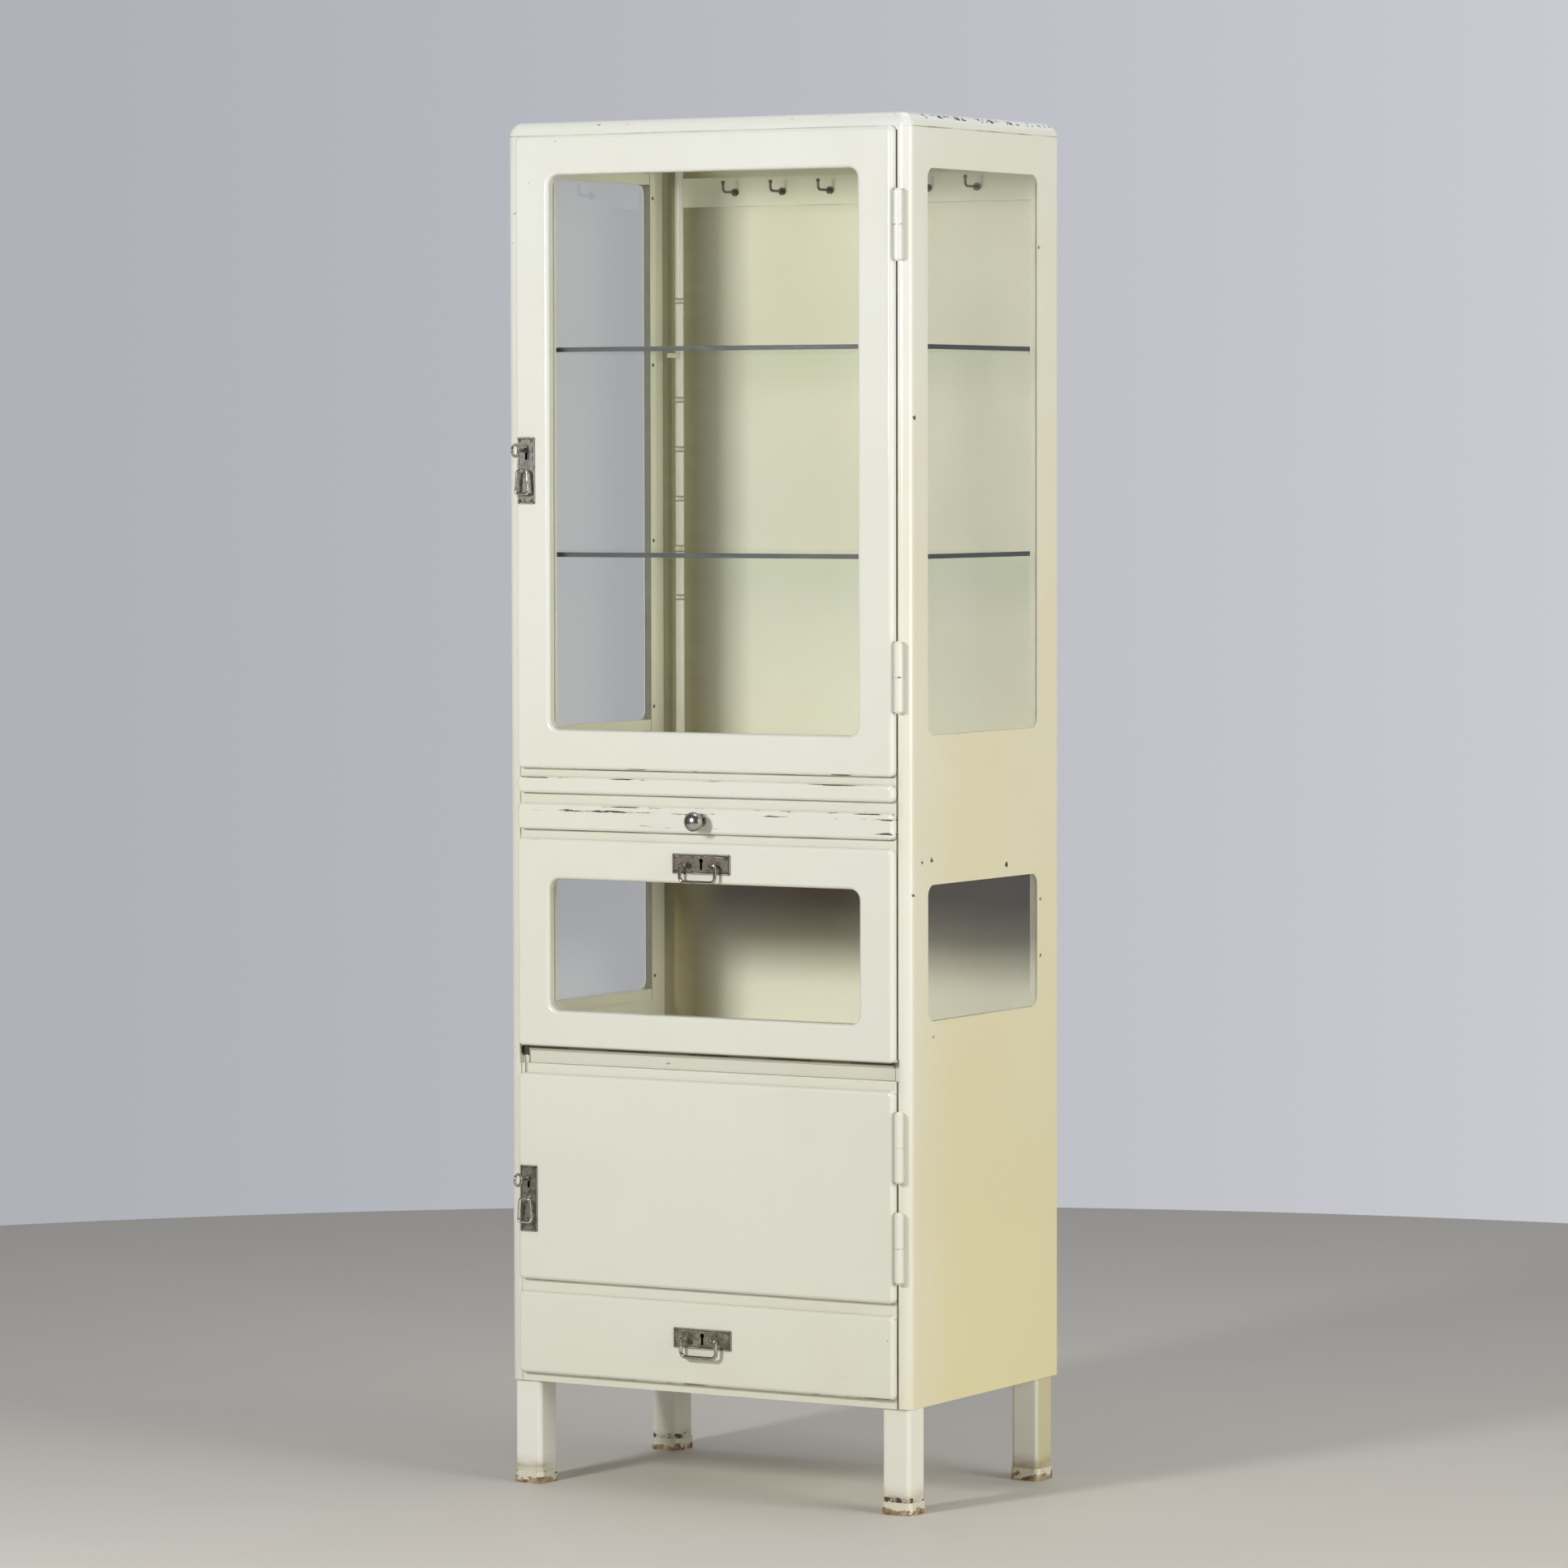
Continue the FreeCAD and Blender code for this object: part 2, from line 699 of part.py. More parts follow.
def bead_strips(name, across, up, thickness, facing, centre):
    """Strips round an opening. The opening lies across X and Z, and facing turns it about Z."""
    x, y, z = centre
    strips = []
    sides = (
        ("top", across, 0, ("0", "1"), up),
        ("right", up, 90, ("1", "0"), across),
        ("bottom", across, 180, ("0", "-1"), up),
        ("left", up, 270, ("-1", "0"), across),
    )
    for side_name, length, angle, (move_across, move_up), other in sides:
        strip = doc.addObject("Part::Wedge", f"{name}_{side_name}")
        bind(strip, Xmin=f"-({length})/2 - seat_width", Xmax=f"({length})/2 + seat_width",
             X2min=f"-({length})/2", X2max=f"({length})/2", Ymin="0", Ymax="seat_width",
             Zmin="0", Z2min="0", Zmax=thickness, Z2max=thickness)
        turn(strip, (1, 0, 0), -90)
        turn(strip, (0, 1, 0), angle)
        turn(strip, (0, 0, 1), facing)
        shift = f"(({other})/2 + seat_width)"
        if facing:
            put(strip, x, f"({y}) - ({move_across})*{shift}", f"({z}) + ({move_up})*{shift}")
        else:
            put(strip, f"({x}) + ({move_across})*{shift}", y, f"({z}) + ({move_up})*{shift}")
        strips.append(strip)
    return strips


SIDE_Y = "(front_y + side_window_front + back_y - side_window_back)/2"
SIDE_ACROSS = "(cabinet_depth - side_window_front - side_window_back)"
side_panes = []
side_beads = []
for name, bottom, top in (
        ("upper", "upper_window_bottom", "upper_window_top"),
        ("lower", "side_lower_bottom", "side_lower_top")):
    up = f"(({top}) - ({bottom}))"
    pane = box(
        f"{name}_side_pane", ("-inner_half", "glass - inner_half"),
        (f"{SIDE_Y} - {SIDE_ACROSS}/2 - glass_overlap", f"{SIDE_Y} + {SIDE_ACROSS}/2 + glass_overlap"),
        (f"{bottom} - glass_overlap", f"{top} + glass_overlap"))
    rebate = box(
        f"{name}_side_rebate", ("-inner_half - overrun", "glass - inner_half"),
        (f"{SIDE_Y} - {SIDE_ACROSS}/2 - glass_overlap - fit_gap",
         f"{SIDE_Y} + {SIDE_ACROSS}/2 + glass_overlap + fit_gap"),
        (f"{bottom} - glass_overlap - fit_gap", f"{top} + glass_overlap + fit_gap"))
    strips = bead_strips(
        f"{name}_side_bead", SIDE_ACROSS, up, "side_bead_thickness", -90,
        ("-inner_half", SIDE_Y, f"(({top}) + ({bottom}))/2"))
    side_panes += [pane, mirrored(f"{name}_right_pane", pane)]
    for strip in strips:
        held = cut(strip.Name + "_rebated", strip, rebate)
        side_beads += [held, mirrored(strip.Name + "_right", held)]
node("side_window_panes", group("side_pane_set", side_panes))
node("side_window_beads", group("side_bead_set", side_beads))

# Notched uprights: a flat tongue with a half-round rib that the shelf rests hook into

UPRIGHT_TOP = "cabinet_height - upright_top_gap"
upright_length = f"({UPRIGHT_TOP}) - (upper_floor_top)"
uprights = []
rests = []


def upright(name, tongue, place, facing):
    """Tongue along +X from the rib, rib towards -Y, then turned about Z."""
    strip = box(
        name + "_tongue", ("0", f"{tongue} + upright_radius"), ("-tongue_thickness", "0"),
        ("0", upright_length))
    rib = cylinder(name + "_rib", "upright_radius", upright_length, "z", ("0", "0", "0"))
    front_half = box(
        name + "_half", ("-upright_radius", "upright_radius"), ("-upright_radius", "0"),
        ("0", upright_length))
    solid = fuse(name + "_solid", strip, common(name + "_half_round", rib, front_half))
    notches = []
    for index in range(NOTCH_COUNT):
        low = f"lowest_notch + {index}*notch_pitch"
        notches.append(box(
            f"{name}_notch_{index}", ("-upright_radius - overrun", "upright_radius + tongue_thickness"),
            ("-upright_radius - overrun", "-tongue_thickness"),
            (low, f"{low} + notch_height")))
    made = cut(name + "_notched", solid, *notches)
    turn(made, (0, 0, 1), facing)
    return put(made, *place)


rear_upright = upright(
    "rear_upright", "upright_tongue", ("rear_rest_x", "back_inner_y", "upper_floor_top"), 0)
front_upright = upright(
    "front_upright", "front_tongue", ("inner_half", "front_rest_y", "upper_floor_top"), 270)
for name, made in (("rear", rear_upright), ("front", front_upright)):
    uprights += [made, mirrored(name + "_left_upright", made)]
node("shelf_uprights", group("upright_set", uprights))

# Shelf rests: bent strips that hang in the notches, and the two glass shelves on their arms


def shelf_rest(name, place, facing):
    """A tab in the notch, a web down the front of the rib and an arm under the glass."""
    across = ("-support_width/2", "support_width/2")
    web_back = "-upright_radius - fit_gap"
    web_front = f"{web_back} - support_thickness"
    tab = box(
        name + "_tab", across, (web_front, "-tongue_thickness"), ("0", "support_thickness"))
    web = box(
        name + "_web", across, (web_front, web_back), ("-support_drop", "support_thickness"))
    arm = box(
        name + "_arm", across, ("-upright_radius - support_reach", web_back),
        ("-support_drop", "support_thickness - support_drop"))
    made = fuse(name, tab, web, arm)
    turn(made, (0, 0, 1), facing)
    return put(made, *place)


shelves = []
for index in SHELF_NOTCHES:
    low = f"notch_z + {index}*notch_pitch"
    rear_rest = shelf_rest(f"rear_rest_{index}", ("rear_rest_x", "back_inner_y", low), 0)
    front_rest = shelf_rest(f"front_rest_{index}", ("inner_half", "front_rest_y", low), 270)
    rests += [rear_rest, mirrored(f"rear_left_rest_{index}", rear_rest)]
    rests += [front_rest, mirrored(f"front_left_rest_{index}", front_rest)]
    shelf_depth = "back_inner_y - shelf_back_gap - front_y - shelf_front_gap"
    shelf = rounded_block(
        f"glass_shelf_{index}", "XY_Plane", "2*inner_half - 2*shelf_side_gap", shelf_depth,
        "shelf_glass", "shelf_corner_radius")
    put(shelf, "0", "(back_inner_y - shelf_back_gap + front_y + shelf_front_gap)/2",
        f"{low} - support_drop + support_thickness")
    shelves.append(shelf)
node("shelf_rests", group("shelf_rest_set", rests))
node("glass_shelves", group("glass_shelf_set", shelves))

# Hook rail across the top of the back, with its row of wire hooks

HOOK_RAIL_TOP = "cabinet_height - hook_rail_top_gap"
node("hook_rail", box(
    "hook_rail_strip",
    ("upright_radius + fit_gap - rear_rest_x", "rear_rest_x - upright_radius - fit_gap"),
    ("back_inner_y - hook_rail_thickness", "back_inner_y"),
    (f"{HOOK_RAIL_TOP} - hook_rail_height", HOOK_RAIL_TOP)))
hooks = []
for index in range(HOOK_COUNT):
    x = f"({index} - ({HOOK_COUNT} - 1)/2)*hook_pitch"
    z = f"{HOOK_RAIL_TOP} - hook_drop"
    wall_y = "back_inner_y - hook_rail_thickness"
    name = f"hook_{index}"
    boss = cylinder(name + "_boss", "hook_boss_radius", "hook_boss_length", "-y", (x, wall_y, z))
    arm = cylinder(name + "_arm", "hook_wire_radius", "hook_reach", "-y", (x, wall_y, z))
    bend = doc.addObject("Part::Torus", name + "_bend")
    bind(bend, Radius1="hook_bend", Radius2="hook_wire_radius")
    bend.Angle3 = 90
    turn(bend, (0, 0, 1), 180)
    turn(bend, (0, 1, 0), -90)
    put(bend, x, f"{wall_y} - hook_reach", f"{z} + hook_bend")
    tip = cylinder(
        name + "_tip", "hook_wire_radius", "hook_rise", "z",
        (x, f"{wall_y} - hook_reach - hook_bend", f"{z} + hook_bend"))
    bead = ball(
        name + "_bead", "hook_tip_radius",
        (x, f"{wall_y} - hook_reach - hook_bend", f"{z} + hook_bend + hook_rise"))
    hooks.append(fuse(name, boss, arm, bend, tip, bead))
node("hooks", group("hook_set", hooks))

# Runners: two angles welded to the walls for each sliding piece


def runner_pair(name, top):
    ledge_box = box(
        name + "_ledge", ("fit_gap - inner_half", "runner_reach - inner_half"),
        ("rail_back_y", "back_inner_y"), (f"{top} - sheet", top))
    upstand = box(
        name + "_upstand", ("fit_gap - inner_half", "fit_gap + sheet - inner_half"),
        ("rail_back_y", "back_inner_y"), (f"{top} - sheet", f"{top} + runner_height"))
    left = fuse(name + "_left", ledge_box, upstand)
    return [left, mirrored(name + "_right", left)]


SHELF_SLIDE_Z = "shelf_bottom + overlay + slide_lift"
TRAY_SLIDE_Z = "tray_bottom + overlay + slide_lift"
DRAWER_SLIDE_Z = "drawer_bottom + overlay + slide_lift"
node("slide_runners", group(
    "runner_set",
    runner_pair("shelf_runner", f"{SHELF_SLIDE_Z} - fit_gap")
    + runner_pair("tray_runner", f"{TRAY_SLIDE_Z} - fit_gap")
    + runner_pair("drawer_runner", f"{DRAWER_SLIDE_Z} - fit_gap")))


# Door hinges: the lower half of each barrel carries the pin and is welded to the right stile,
# the upper half is bored and welded to the door's edge

def fixed_half(name, middle):
    half = "(barrel_length/2 - knuckle_gap/2)"
    low = f"({middle}) - barrel_length/2"
    barrel = cylinder(
        name + "_barrel", "barrel_radius", f"{half} - barrel_radius/2", "z",
        ("hinge_x", "hinge_y", f"{low} + barrel_radius/2"))
    end = doc.addObject("Part::Cone", name + "_end")
    bind(end, Radius1="barrel_radius/2", Radius2="barrel_radius", Height="barrel_radius/2")
    put(end, "hinge_x", "hinge_y", low)
    pin = cylinder(
        name + "_pin", "hinge_pin_radius", f"barrel_length/2 + {half} - 3*barrel_radius/2", "z",
        ("hinge_x", "hinge_y", f"{low} + barrel_radius/2"))
    weld = box(
        name + "_weld", ("hinge_x - weld_pad", "hinge_x + weld_pad"),
        ("hinge_y + hinge_pin_radius", "front_y"), (f"{low} + barrel_radius", f"{low} + {half}"))
    return fuse(name, barrel, end, pin, weld)


def moving_half(name, middle):
    low = f"({middle}) + knuckle_gap/2"
    half = "(barrel_length/2 - knuckle_gap/2)"
    barrel = cylinder(
        name + "_barrel", "barrel_radius", f"{half} - barrel_radius/2", "z",
        ("hinge_x", "hinge_y", low))
    end = doc.addObject("Part::Cone", name + "_end")
    bind(end, Radius1="barrel_radius", Radius2="barrel_radius/2", Height="barrel_radius/2")
    put(end, "hinge_x", "hinge_y", f"{low} + {half} - barrel_radius/2")
    weld = box(
        name + "_weld", ("front_width/2", "hinge_x - hinge_pin_radius"),
        ("hinge_y", "hinge_y + weld_pad"), (low, f"{low} + {half} - barrel_radius"))
    bore = cylinder(
        name + "_bore", "hinge_pin_radius + running_gap", f"{half} - barrel_radius/2", "z",
        ("hinge_x", "hinge_y", f"{low} - knuckle_gap"))
    return cut(name, fuse(name + "_solid", barrel, end, weld), bore)


UPPER_HINGES = (
    "upper_door_top - upper_hinge_from_top", "upper_door_bottom + lower_hinge_from_bottom")
LOWER_HINGES = (
    "lower_door_top - small_hinge_from_top", "lower_door_bottom + small_hinge_from_bottom")
node("hinge_pins", group("hinge_pin_set", [
    fixed_half(f"fixed_half_{index}", middle)
    for index, middle in enumerate(UPPER_HINGES + LOWER_HINGES)]))
node("upper_door_knuckles", group("upper_knuckle_set", [
    moving_half(f"upper_half_{index}", middle) for index, middle in enumerate(UPPER_HINGES)]))
node("lower_door_knuckles", group("lower_knuckle_set", [
    moving_half(f"lower_half_{index}", middle) for index, middle in enumerate(LOWER_HINGES)]))


# Fronts: pans of folded sheet, all with the same rolled edge

def pan_skin(name, bottom, top, shrink="0", window=None):
    """A block with rolled front edges, also round its window where it has one."""
    depth = f"front_proud - front_gap - 2*({shrink})"
    body = rounded_block(
        name, "XZ_Plane", f"front_width - 2*({shrink})", f"({top}) - ({bottom}) - 2*({shrink})",
        depth, f"front_corner_radius - ({shrink})")
    if window:
        across, up, rise = window
        outline = sketch_on(body, "XZ_Plane", name + "_window")
        rounded_rectangle(outline, across, up, "window_radius")
        outline.setExpression("AttachmentOffset.Base.y", size(rise))
        pocket(body, outline, name + "_window_hole")
    doc.recompute()
    round_edges(body, name + "_roll", edges_on(body, "Y", f"-({depth})"),
                f"front_edge_radius - ({shrink})")
    return put(body, "0", "rear_y", f"(({top}) + ({bottom}))/2")


def rebated_front(name, bottom, top, window=None):
    """A pan that laps over the frame, with a smaller step that enters the opening."""
    skin = pan_skin(name + "_skin", bottom, top, "0", window)
    step_half = "(opening_half - rebate_gap)"
    step_low = f"({bottom}) + overlay + rebate_gap"
    step_high = f"({top}) - overlay - rebate_gap"
    step = box(
        name + "_step", (f"-{step_half}", step_half), ("rear_y", "front_y + rebate_depth"),
        (step_low, step_high))
    inside_skin = pan_skin(name + "_inside", bottom, top, "sheet")
    inside_skin.setExpression("Placement.Base.y", size("rear_y - sheet"))
    inside_step = box(
        name + "_step_space", (f"sheet - {step_half}", f"{step_half} - sheet"),
        ("rear_y - 2*sheet", "front_y + rebate_depth - sheet"),
        (f"{step_low} + sheet", f"{step_high} - sheet"))
    rear_space = box(
        name + "_rear_space",
        (f"sheet + rear_flange - {step_half}", f"{step_half} - rear_flange - sheet"),
        ("front_y", "front_y + rebate_depth + overrun"),
        (f"{step_low} + rear_flange + sheet", f"{step_high} - rear_flange - sheet"))
    block = fuse(name + "_block", skin, step)
    spaces = fuse(name + "_spaces", inside_skin, inside_step, rear_space)
    if not window:
        return cut(name + "_pan", block, spaces)
    across, up, rise = window
    centre_z = f"(({top}) + ({bottom}))/2 + ({rise})"
    lip = box(
        name + "_lip", (f"-({across})/2 - lip_wall", f"({across})/2 + lip_wall"),
        ("face_y", "front_y + seat_back"),
        (f"{centre_z} - ({up})/2 - lip_wall", f"{centre_z} + ({up})/2 + lip_wall"))
    seat = box(
        name + "_seat", (f"-({across})/2 - seat_width", f"({across})/2 + seat_width"),
        ("front_y + seat_back - sheet", "front_y + seat_back"),
        (f"{centre_z} - ({up})/2 - seat_width", f"{centre_z} + ({up})/2 + seat_width"))
    spaces_left = cut(name + "_spaces_left", spaces, lip, seat)
    through = rounded_block(
        name + "_window_through", "XZ_Plane", across, up,
        "rebate_depth + front_proud + 2*overrun", "window_radius")
    put(through, "0", "front_y + rebate_depth + overrun", centre_z)
    opened = cut(name + "_opened", block, through)
    glazed = fuse(name + "_glazed", cut(name + "_pan", opened, spaces_left),
                  cut(name + "_seat_ring", fuse(name + "_seat_solid", seat,
                      box(name + "_lip_tail",
                          (f"-({across})/2 - lip_wall", f"({across})/2 + lip_wall"),
                          ("rear_y", "front_y + seat_back"),
                          (f"{centre_z} - ({up})/2 - lip_wall",
                           f"{centre_z} + ({up})/2 + lip_wall"))), through))
    return glazed


def door_pane(name, window, bottom, top):
    """The pane behind a door's window, and the mitred beads that hold it."""
    across, up, rise = window
    centre_z = f"(({top}) + ({bottom}))/2 + ({rise})"
    pane = box(
        name + "_pane", (f"-({across})/2 - glass_overlap", f"({across})/2 + glass_overlap"),
        ("front_y + seat_back", "front_y + seat_back + glass"),
        (f"{centre_z} - ({up})/2 - glass_overlap", f"{centre_z} + ({up})/2 + glass_overlap"))
    rebate = box(
        name + "_rebate",
        (f"-({across})/2 - glass_overlap - fit_gap", f"({across})/2 + glass_overlap + fit_gap"),
        ("front_y + seat_back - overrun", "front_y + seat_back + glass"),
        (f"{centre_z} - ({up})/2 - glass_overlap - fit_gap",
         f"{centre_z} + ({up})/2 + glass_overlap + fit_gap"))
    strips = bead_strips(
        name + "_bead", across, up, "bead_thickness", 0,
        ("0", "front_y + seat_back", centre_z))
    beads = [cut(strip.Name + "_rebated", strip, rebate) for strip in strips]
    return pane, group(name + "_bead_set", beads)


def keyhole(name, x, z, depth_from, depth_to, sideways=False):
    """A round hole with a slot under it, right through what stands there."""
    length = f"({depth_to}) - ({depth_from})"
    hole = cylinder(name + "_hole", "keyhole_radius", length, "-y", (x, depth_to, z))
    slot = box(
        name + "_slot", (f"({x}) - keyhole_slot/2", f"({x}) + keyhole_slot/2"),
        (depth_from, depth_to), (f"({z}) - keyhole_length + keyhole_radius", z))
    return fuse(name, hole, slot)


UPPER_WINDOW = (
    "front_width - 2*door_window_margin",
    "upper_door_top - upper_door_bottom - 2*door_window_margin", "0")
FLAP_WINDOW = (
    "front_width - 2*flap_window_side",
    "flap_height - flap_window_bottom - flap_window_top",
    "(flap_window_bottom - flap_window_top)/2")

# Upper door: glazed, hung on the right

upper_pan = rebated_front("upper_door", "upper_door_bottom", "upper_door_top", UPPER_WINDOW)
upper_way = box(
    "upper_bolt_way", ("-opening_half", "case_left + sheet"),
    ("bolt_y - slot_gap/2", "bolt_y + bolt_thickness + slot_gap/2"),
    ("upper_lock_z - bolt_height/2 - slot_gap/2", "upper_lock_z + bolt_height/2 + slot_gap/2"))
node("upper_door_frame", cut(
    "upper_door_solid", upper_pan,
    keyhole("upper_door_keyhole", "lock_x", "upper_lock_z", "face_y - overrun", "face_y + overrun"),
    upper_way))
upper_pane, upper_beads = door_pane(
    "upper_door", UPPER_WINDOW, "upper_door_bottom", "upper_door_top")
node("upper_door_glass", upper_pane)
node("upper_door_beads", upper_beads)

# Lower door: solid, hung on the right

lower_pan = rebated_front("lower_door", "lower_door_bottom", "lower_door_top")
lower_way = box(
    "lower_bolt_way", ("-opening_half", "case_left + sheet"),
    ("bolt_y - slot_gap/2", "bolt_y + bolt_thickness + slot_gap/2"),
    ("lower_lock_z - bolt_height/2 - slot_gap/2", "lower_lock_z + bolt_height/2 + slot_gap/2"))
node("lower_door_panel", cut(
    "lower_door_solid", lower_pan,
    keyhole("lower_door_keyhole", "lock_x", "lower_lock_z", "face_y - overrun", "face_y + overrun"),
    lower_way))

# Flap: glazed, folds down on a long hinge under its lower edge

flap_pan = rebated_front("flap", "flap_bottom", "flap_top", FLAP_WINDOW)
flap_way = box(
    "flap_bolt_way", ("-bolt_height/2 - slot_gap/2", "bolt_height/2 + slot_gap/2"),
    ("bolt_y - slot_gap/2", "bolt_y + bolt_thickness + slot_gap/2"),
    ("flap_step_top - 2*sheet", "flap_top"))
node("flap_frame", cut(
    "flap_solid", flap_pan,
    keyhole("flap_keyhole", "0", "flap_key_z", "face_y - overrun", "face_y + overrun"),
    flap_way))
flap_pane, flap_beads = door_pane("flap", FLAP_WINDOW, "flap_bottom", "flap_top")
node("flap_glass", flap_pane)
node("flap_beads", flap_beads)

# Flap hinge: a long hinge of alternate knuckles on one pin


def flap_knuckles(name, first, y, z):
    """Every second knuckle along the hinge from the first or the second, each with the tab of its
    leaf."""
    made = []
    for index in range(first, KNUCKLE_COUNT, 2):
        start = f"({index} - {KNUCKLE_COUNT}/2)*flap_knuckle_length + knuckle_gap/2"
        length = "flap_knuckle_length - knuckle_gap"
        made.append(cylinder(
            f"{name}_knuckle_{index}", "flap_barrel_radius", length, "x",
            (start, "flap_hinge_y", "flap_hinge_z")))
        made.append(box(f"{name}_tab_{index}", (start, f"{start} + {length}"), y, z))
    return made


HINGE_HALF = f"({KNUCKLE_COUNT}*flap_knuckle_length/2)"
fixed_leaf_plate = box(
    "fixed_leaf_plate", (f"-{HINGE_HALF}", HINGE_HALF),
    ("front_y + recess_depth - leaf_thickness", "front_y + recess_depth"),
    ("recess_bottom + ledge_gap", "flap_hinge_z - flap_barrel_radius - knuckle_gap"))
flap_pin = cylinder(
    "flap_pin", "flap_pin_radius", f"2*{HINGE_HALF} - knuckle_gap", "x",
    (f"knuckle_gap/2 - {HINGE_HALF}", "flap_hinge_y", "flap_hinge_z"))
node("flap_hinge_fixed_leaf", fuse(
    "flap_hinge_fixed", fixed_leaf_plate, flap_pin,
    *flap_knuckles(
        "fixed", 0, ("front_y + recess_depth - leaf_thickness", "front_y + recess_depth"),
        ("recess_bottom + recess_height/2", "flap_hinge_z"))))

LEAF_TOP = "flap_bottom + overlay + rebate_gap"
LEAF_Y = (
    "flap_hinge_y - flap_barrel_radius", "flap_hinge_y - flap_barrel_radius + leaf_thickness")
moving_strap = box(
    "moving_strap", (f"-{HINGE_HALF}", HINGE_HALF), LEAF_Y,
    ("flap_hinge_z + flap_barrel_radius + knuckle_gap", LEAF_TOP))
moving_foot = box(
    "moving_foot", (f"-{HINGE_HALF}", HINGE_HALF),
    ("front_y", "flap_hinge_y - flap_barrel_radius + leaf_thickness"),
    (f"{LEAF_TOP} - leaf_thickness", LEAF_TOP))
pin_bore = cylinder(
    "flap_pin_bore", "flap_pin_radius + running_gap", f"2*({HINGE_HALF} + overrun)", "x",
    (f"-{HINGE_HALF} - overrun", "flap_hinge_y", "flap_hinge_z"))
node("flap_hinge_moving_leaf", cut(
    "flap_hinge_moving",
    fuse("flap_hinge_moving_solid", moving_strap, moving_foot,
         *flap_knuckles("moving", 1, LEAF_Y, ("flap_hinge_z", LEAF_TOP))),
    pin_bore))


# Lock plates with their riveted posts

def post(name, x, z, wire_radius):
    """A ball-headed post on a plate, and the cross hole in it for the wire."""
    foot = cylinder(name + "_foot", "post_foot_radius", "post_foot_height", "-y", (x, "plate_y", z))
    stem = cylinder(name + "_stem", "post_radius", "post_reach", "-y", (x, "plate_y", z))
    head = ball(name + "_head", "post_ball_radius", (x, "pivot_y", z))
    bore = cylinder(
        name + "_bore", f"{wire_radius} + running_gap", "4*post_ball_radius", "x",
        (f"({x}) - 2*post_ball_radius", "pivot_y", z))
    return [foot, stem, head], bore


def lock_plate(label, x, z, across, up, key_x, key_z, posts, wire_radius):
    blank = rounded_block(
        label + "_blank", "XZ_Plane", across, up, "plate_thickness", "plate_corner")
    put(blank, x, "face_y", z)
    solids = [blank]
    cutters = [keyhole(label + "_keyhole", key_x, key_z, "plate_y - overrun", "face_y + overrun")]
    for index, (post_x, post_z) in enumerate(posts):
        pieces, bore = post(f"{label}_post_{index}", post_x, post_z, wire_radius)
        solids += pieces
        cutters.append(bore)
    return node(label, cut(label + "_drilled", fuse(label + "_body", *solids), *cutters))


def ring_plate(label, z, key_z):
    return lock_plate(
        label, "door_plate_x", z, "plate_width", "plate_length", "lock_x", key_z,
        [("door_plate_x", z)], "ring_wire_radius")


def bail_plate(label, z, key_z):
    posts = [("-bail_post_spacing/2", z), ("bail_post_spacing/2", z)]
    return lock_plate(
        label, "0", z, "plate_length", "plate_width", "0", key_z, posts, "bail_wire_radius")


ring_plate("upper_lock_plate", "upper_plate_height", "upper_lock_z")
ring_plate("lower_lock_plate", "lower_plate_height", "lower_lock_z")
bail_plate("flap_lock_plate", "flap_plate_z", "flap_key_z")
bail_plate("drawer_lock_plate", "drawer_plate_z", "drawer_key_z")


# Rings and bails: wire bent in one plane, each corner given by its place and the radius there

def bent_wire(label, corners, wire_radius, closed, place):
    spots = [FreeCAD.Vector(number(x), 0, number(z)) for x, z, bend in corners]
    bends = [number(bend) for x, z, bend in corners]
    rounded = range(len(spots)) if closed else range(1, len(spots) - 1)
    arcs = []
    for index in rounded:
        here = spots[index]
        back = (spots[index - 1] - here).normalize()
        on = (spots[(index + 1) % len(spots)] - here).normalize()
        half_angle = back.getAngle(on) / 2
        run = bends[index] / math.tan(half_angle)
        reach = bends[index] / math.sin(half_angle)
        middle = here + (back + on).normalize() * (reach - bends[index])
        arcs.append((here + back * run, middle, here + on * run))
    path = []
    previous = arcs[-1][2] if closed else spots[0]
    for start, middle, end in arcs:
        path.append(Part.LineSegment(previous, start).toShape())
        path.append(Part.Arc(start, middle, end).toShape())
        previous = end
    if not closed:
        path.append(Part.LineSegment(previous, spots[-1]).toShape())
    first = path[0]
    start = first.valueAt(first.FirstParameter)
    section = Part.Wire(Part.makeCircle(
        number(wire_radius), start, first.tangentAt(first.FirstParameter)))
    made = doc.addObject("Part::Feature", label + "_wire")
    made.Shape = Part.Wire(path).makePipeShell([section], True, False)
    made.Placement = FreeCAD.Placement(
        FreeCAD.Vector(*[number(text) for text in place]), FreeCAD.Rotation())
    return node(label, made)


RING_CORNERS = [
    ("ring_top_width/2", "0", "ring_top_bend"),
    ("ring_bottom_width/2", "-ring_drop", "ring_bottom_bend"),
    ("-ring_bottom_width/2", "-ring_drop", "ring_bottom_bend"),
    ("-ring_top_width/2", "0", "ring_top_bend"),
]
BAIL_CORNERS = [
    ("bail_post_spacing/2 - post_ball_radius", "0", "0"),
    ("bail_width/2", "0", "bail_top_bend"),
    ("bail_width/2", "-bail_drop", "bail_bottom_bend"),
    ("-bail_width/2", "-bail_drop", "bail_bottom_bend"),
    ("-bail_width/2", "0", "bail_top_bend"),
    ("post_ball_radius - bail_post_spacing/2", "0", "0"),
]
for label, height in (("upper_drop_ring", "upper_plate_height"),
                      ("lower_drop_ring", "lower_plate_height")):
    bent_wire(label, RING_CORNERS, "ring_wire_radius", True, ("door_plate_x", "pivot_y", height))
for label, height in (("flap_bail", "flap_plate_z"), ("drawer_bail", "drawer_plate_z")):
    bent_wire(label, BAIL_CORNERS, "bail_wire_radius", False, ("0", "pivot_y", height))


# Locks: a sheet case behind each front, with a flat bolt that slides in it

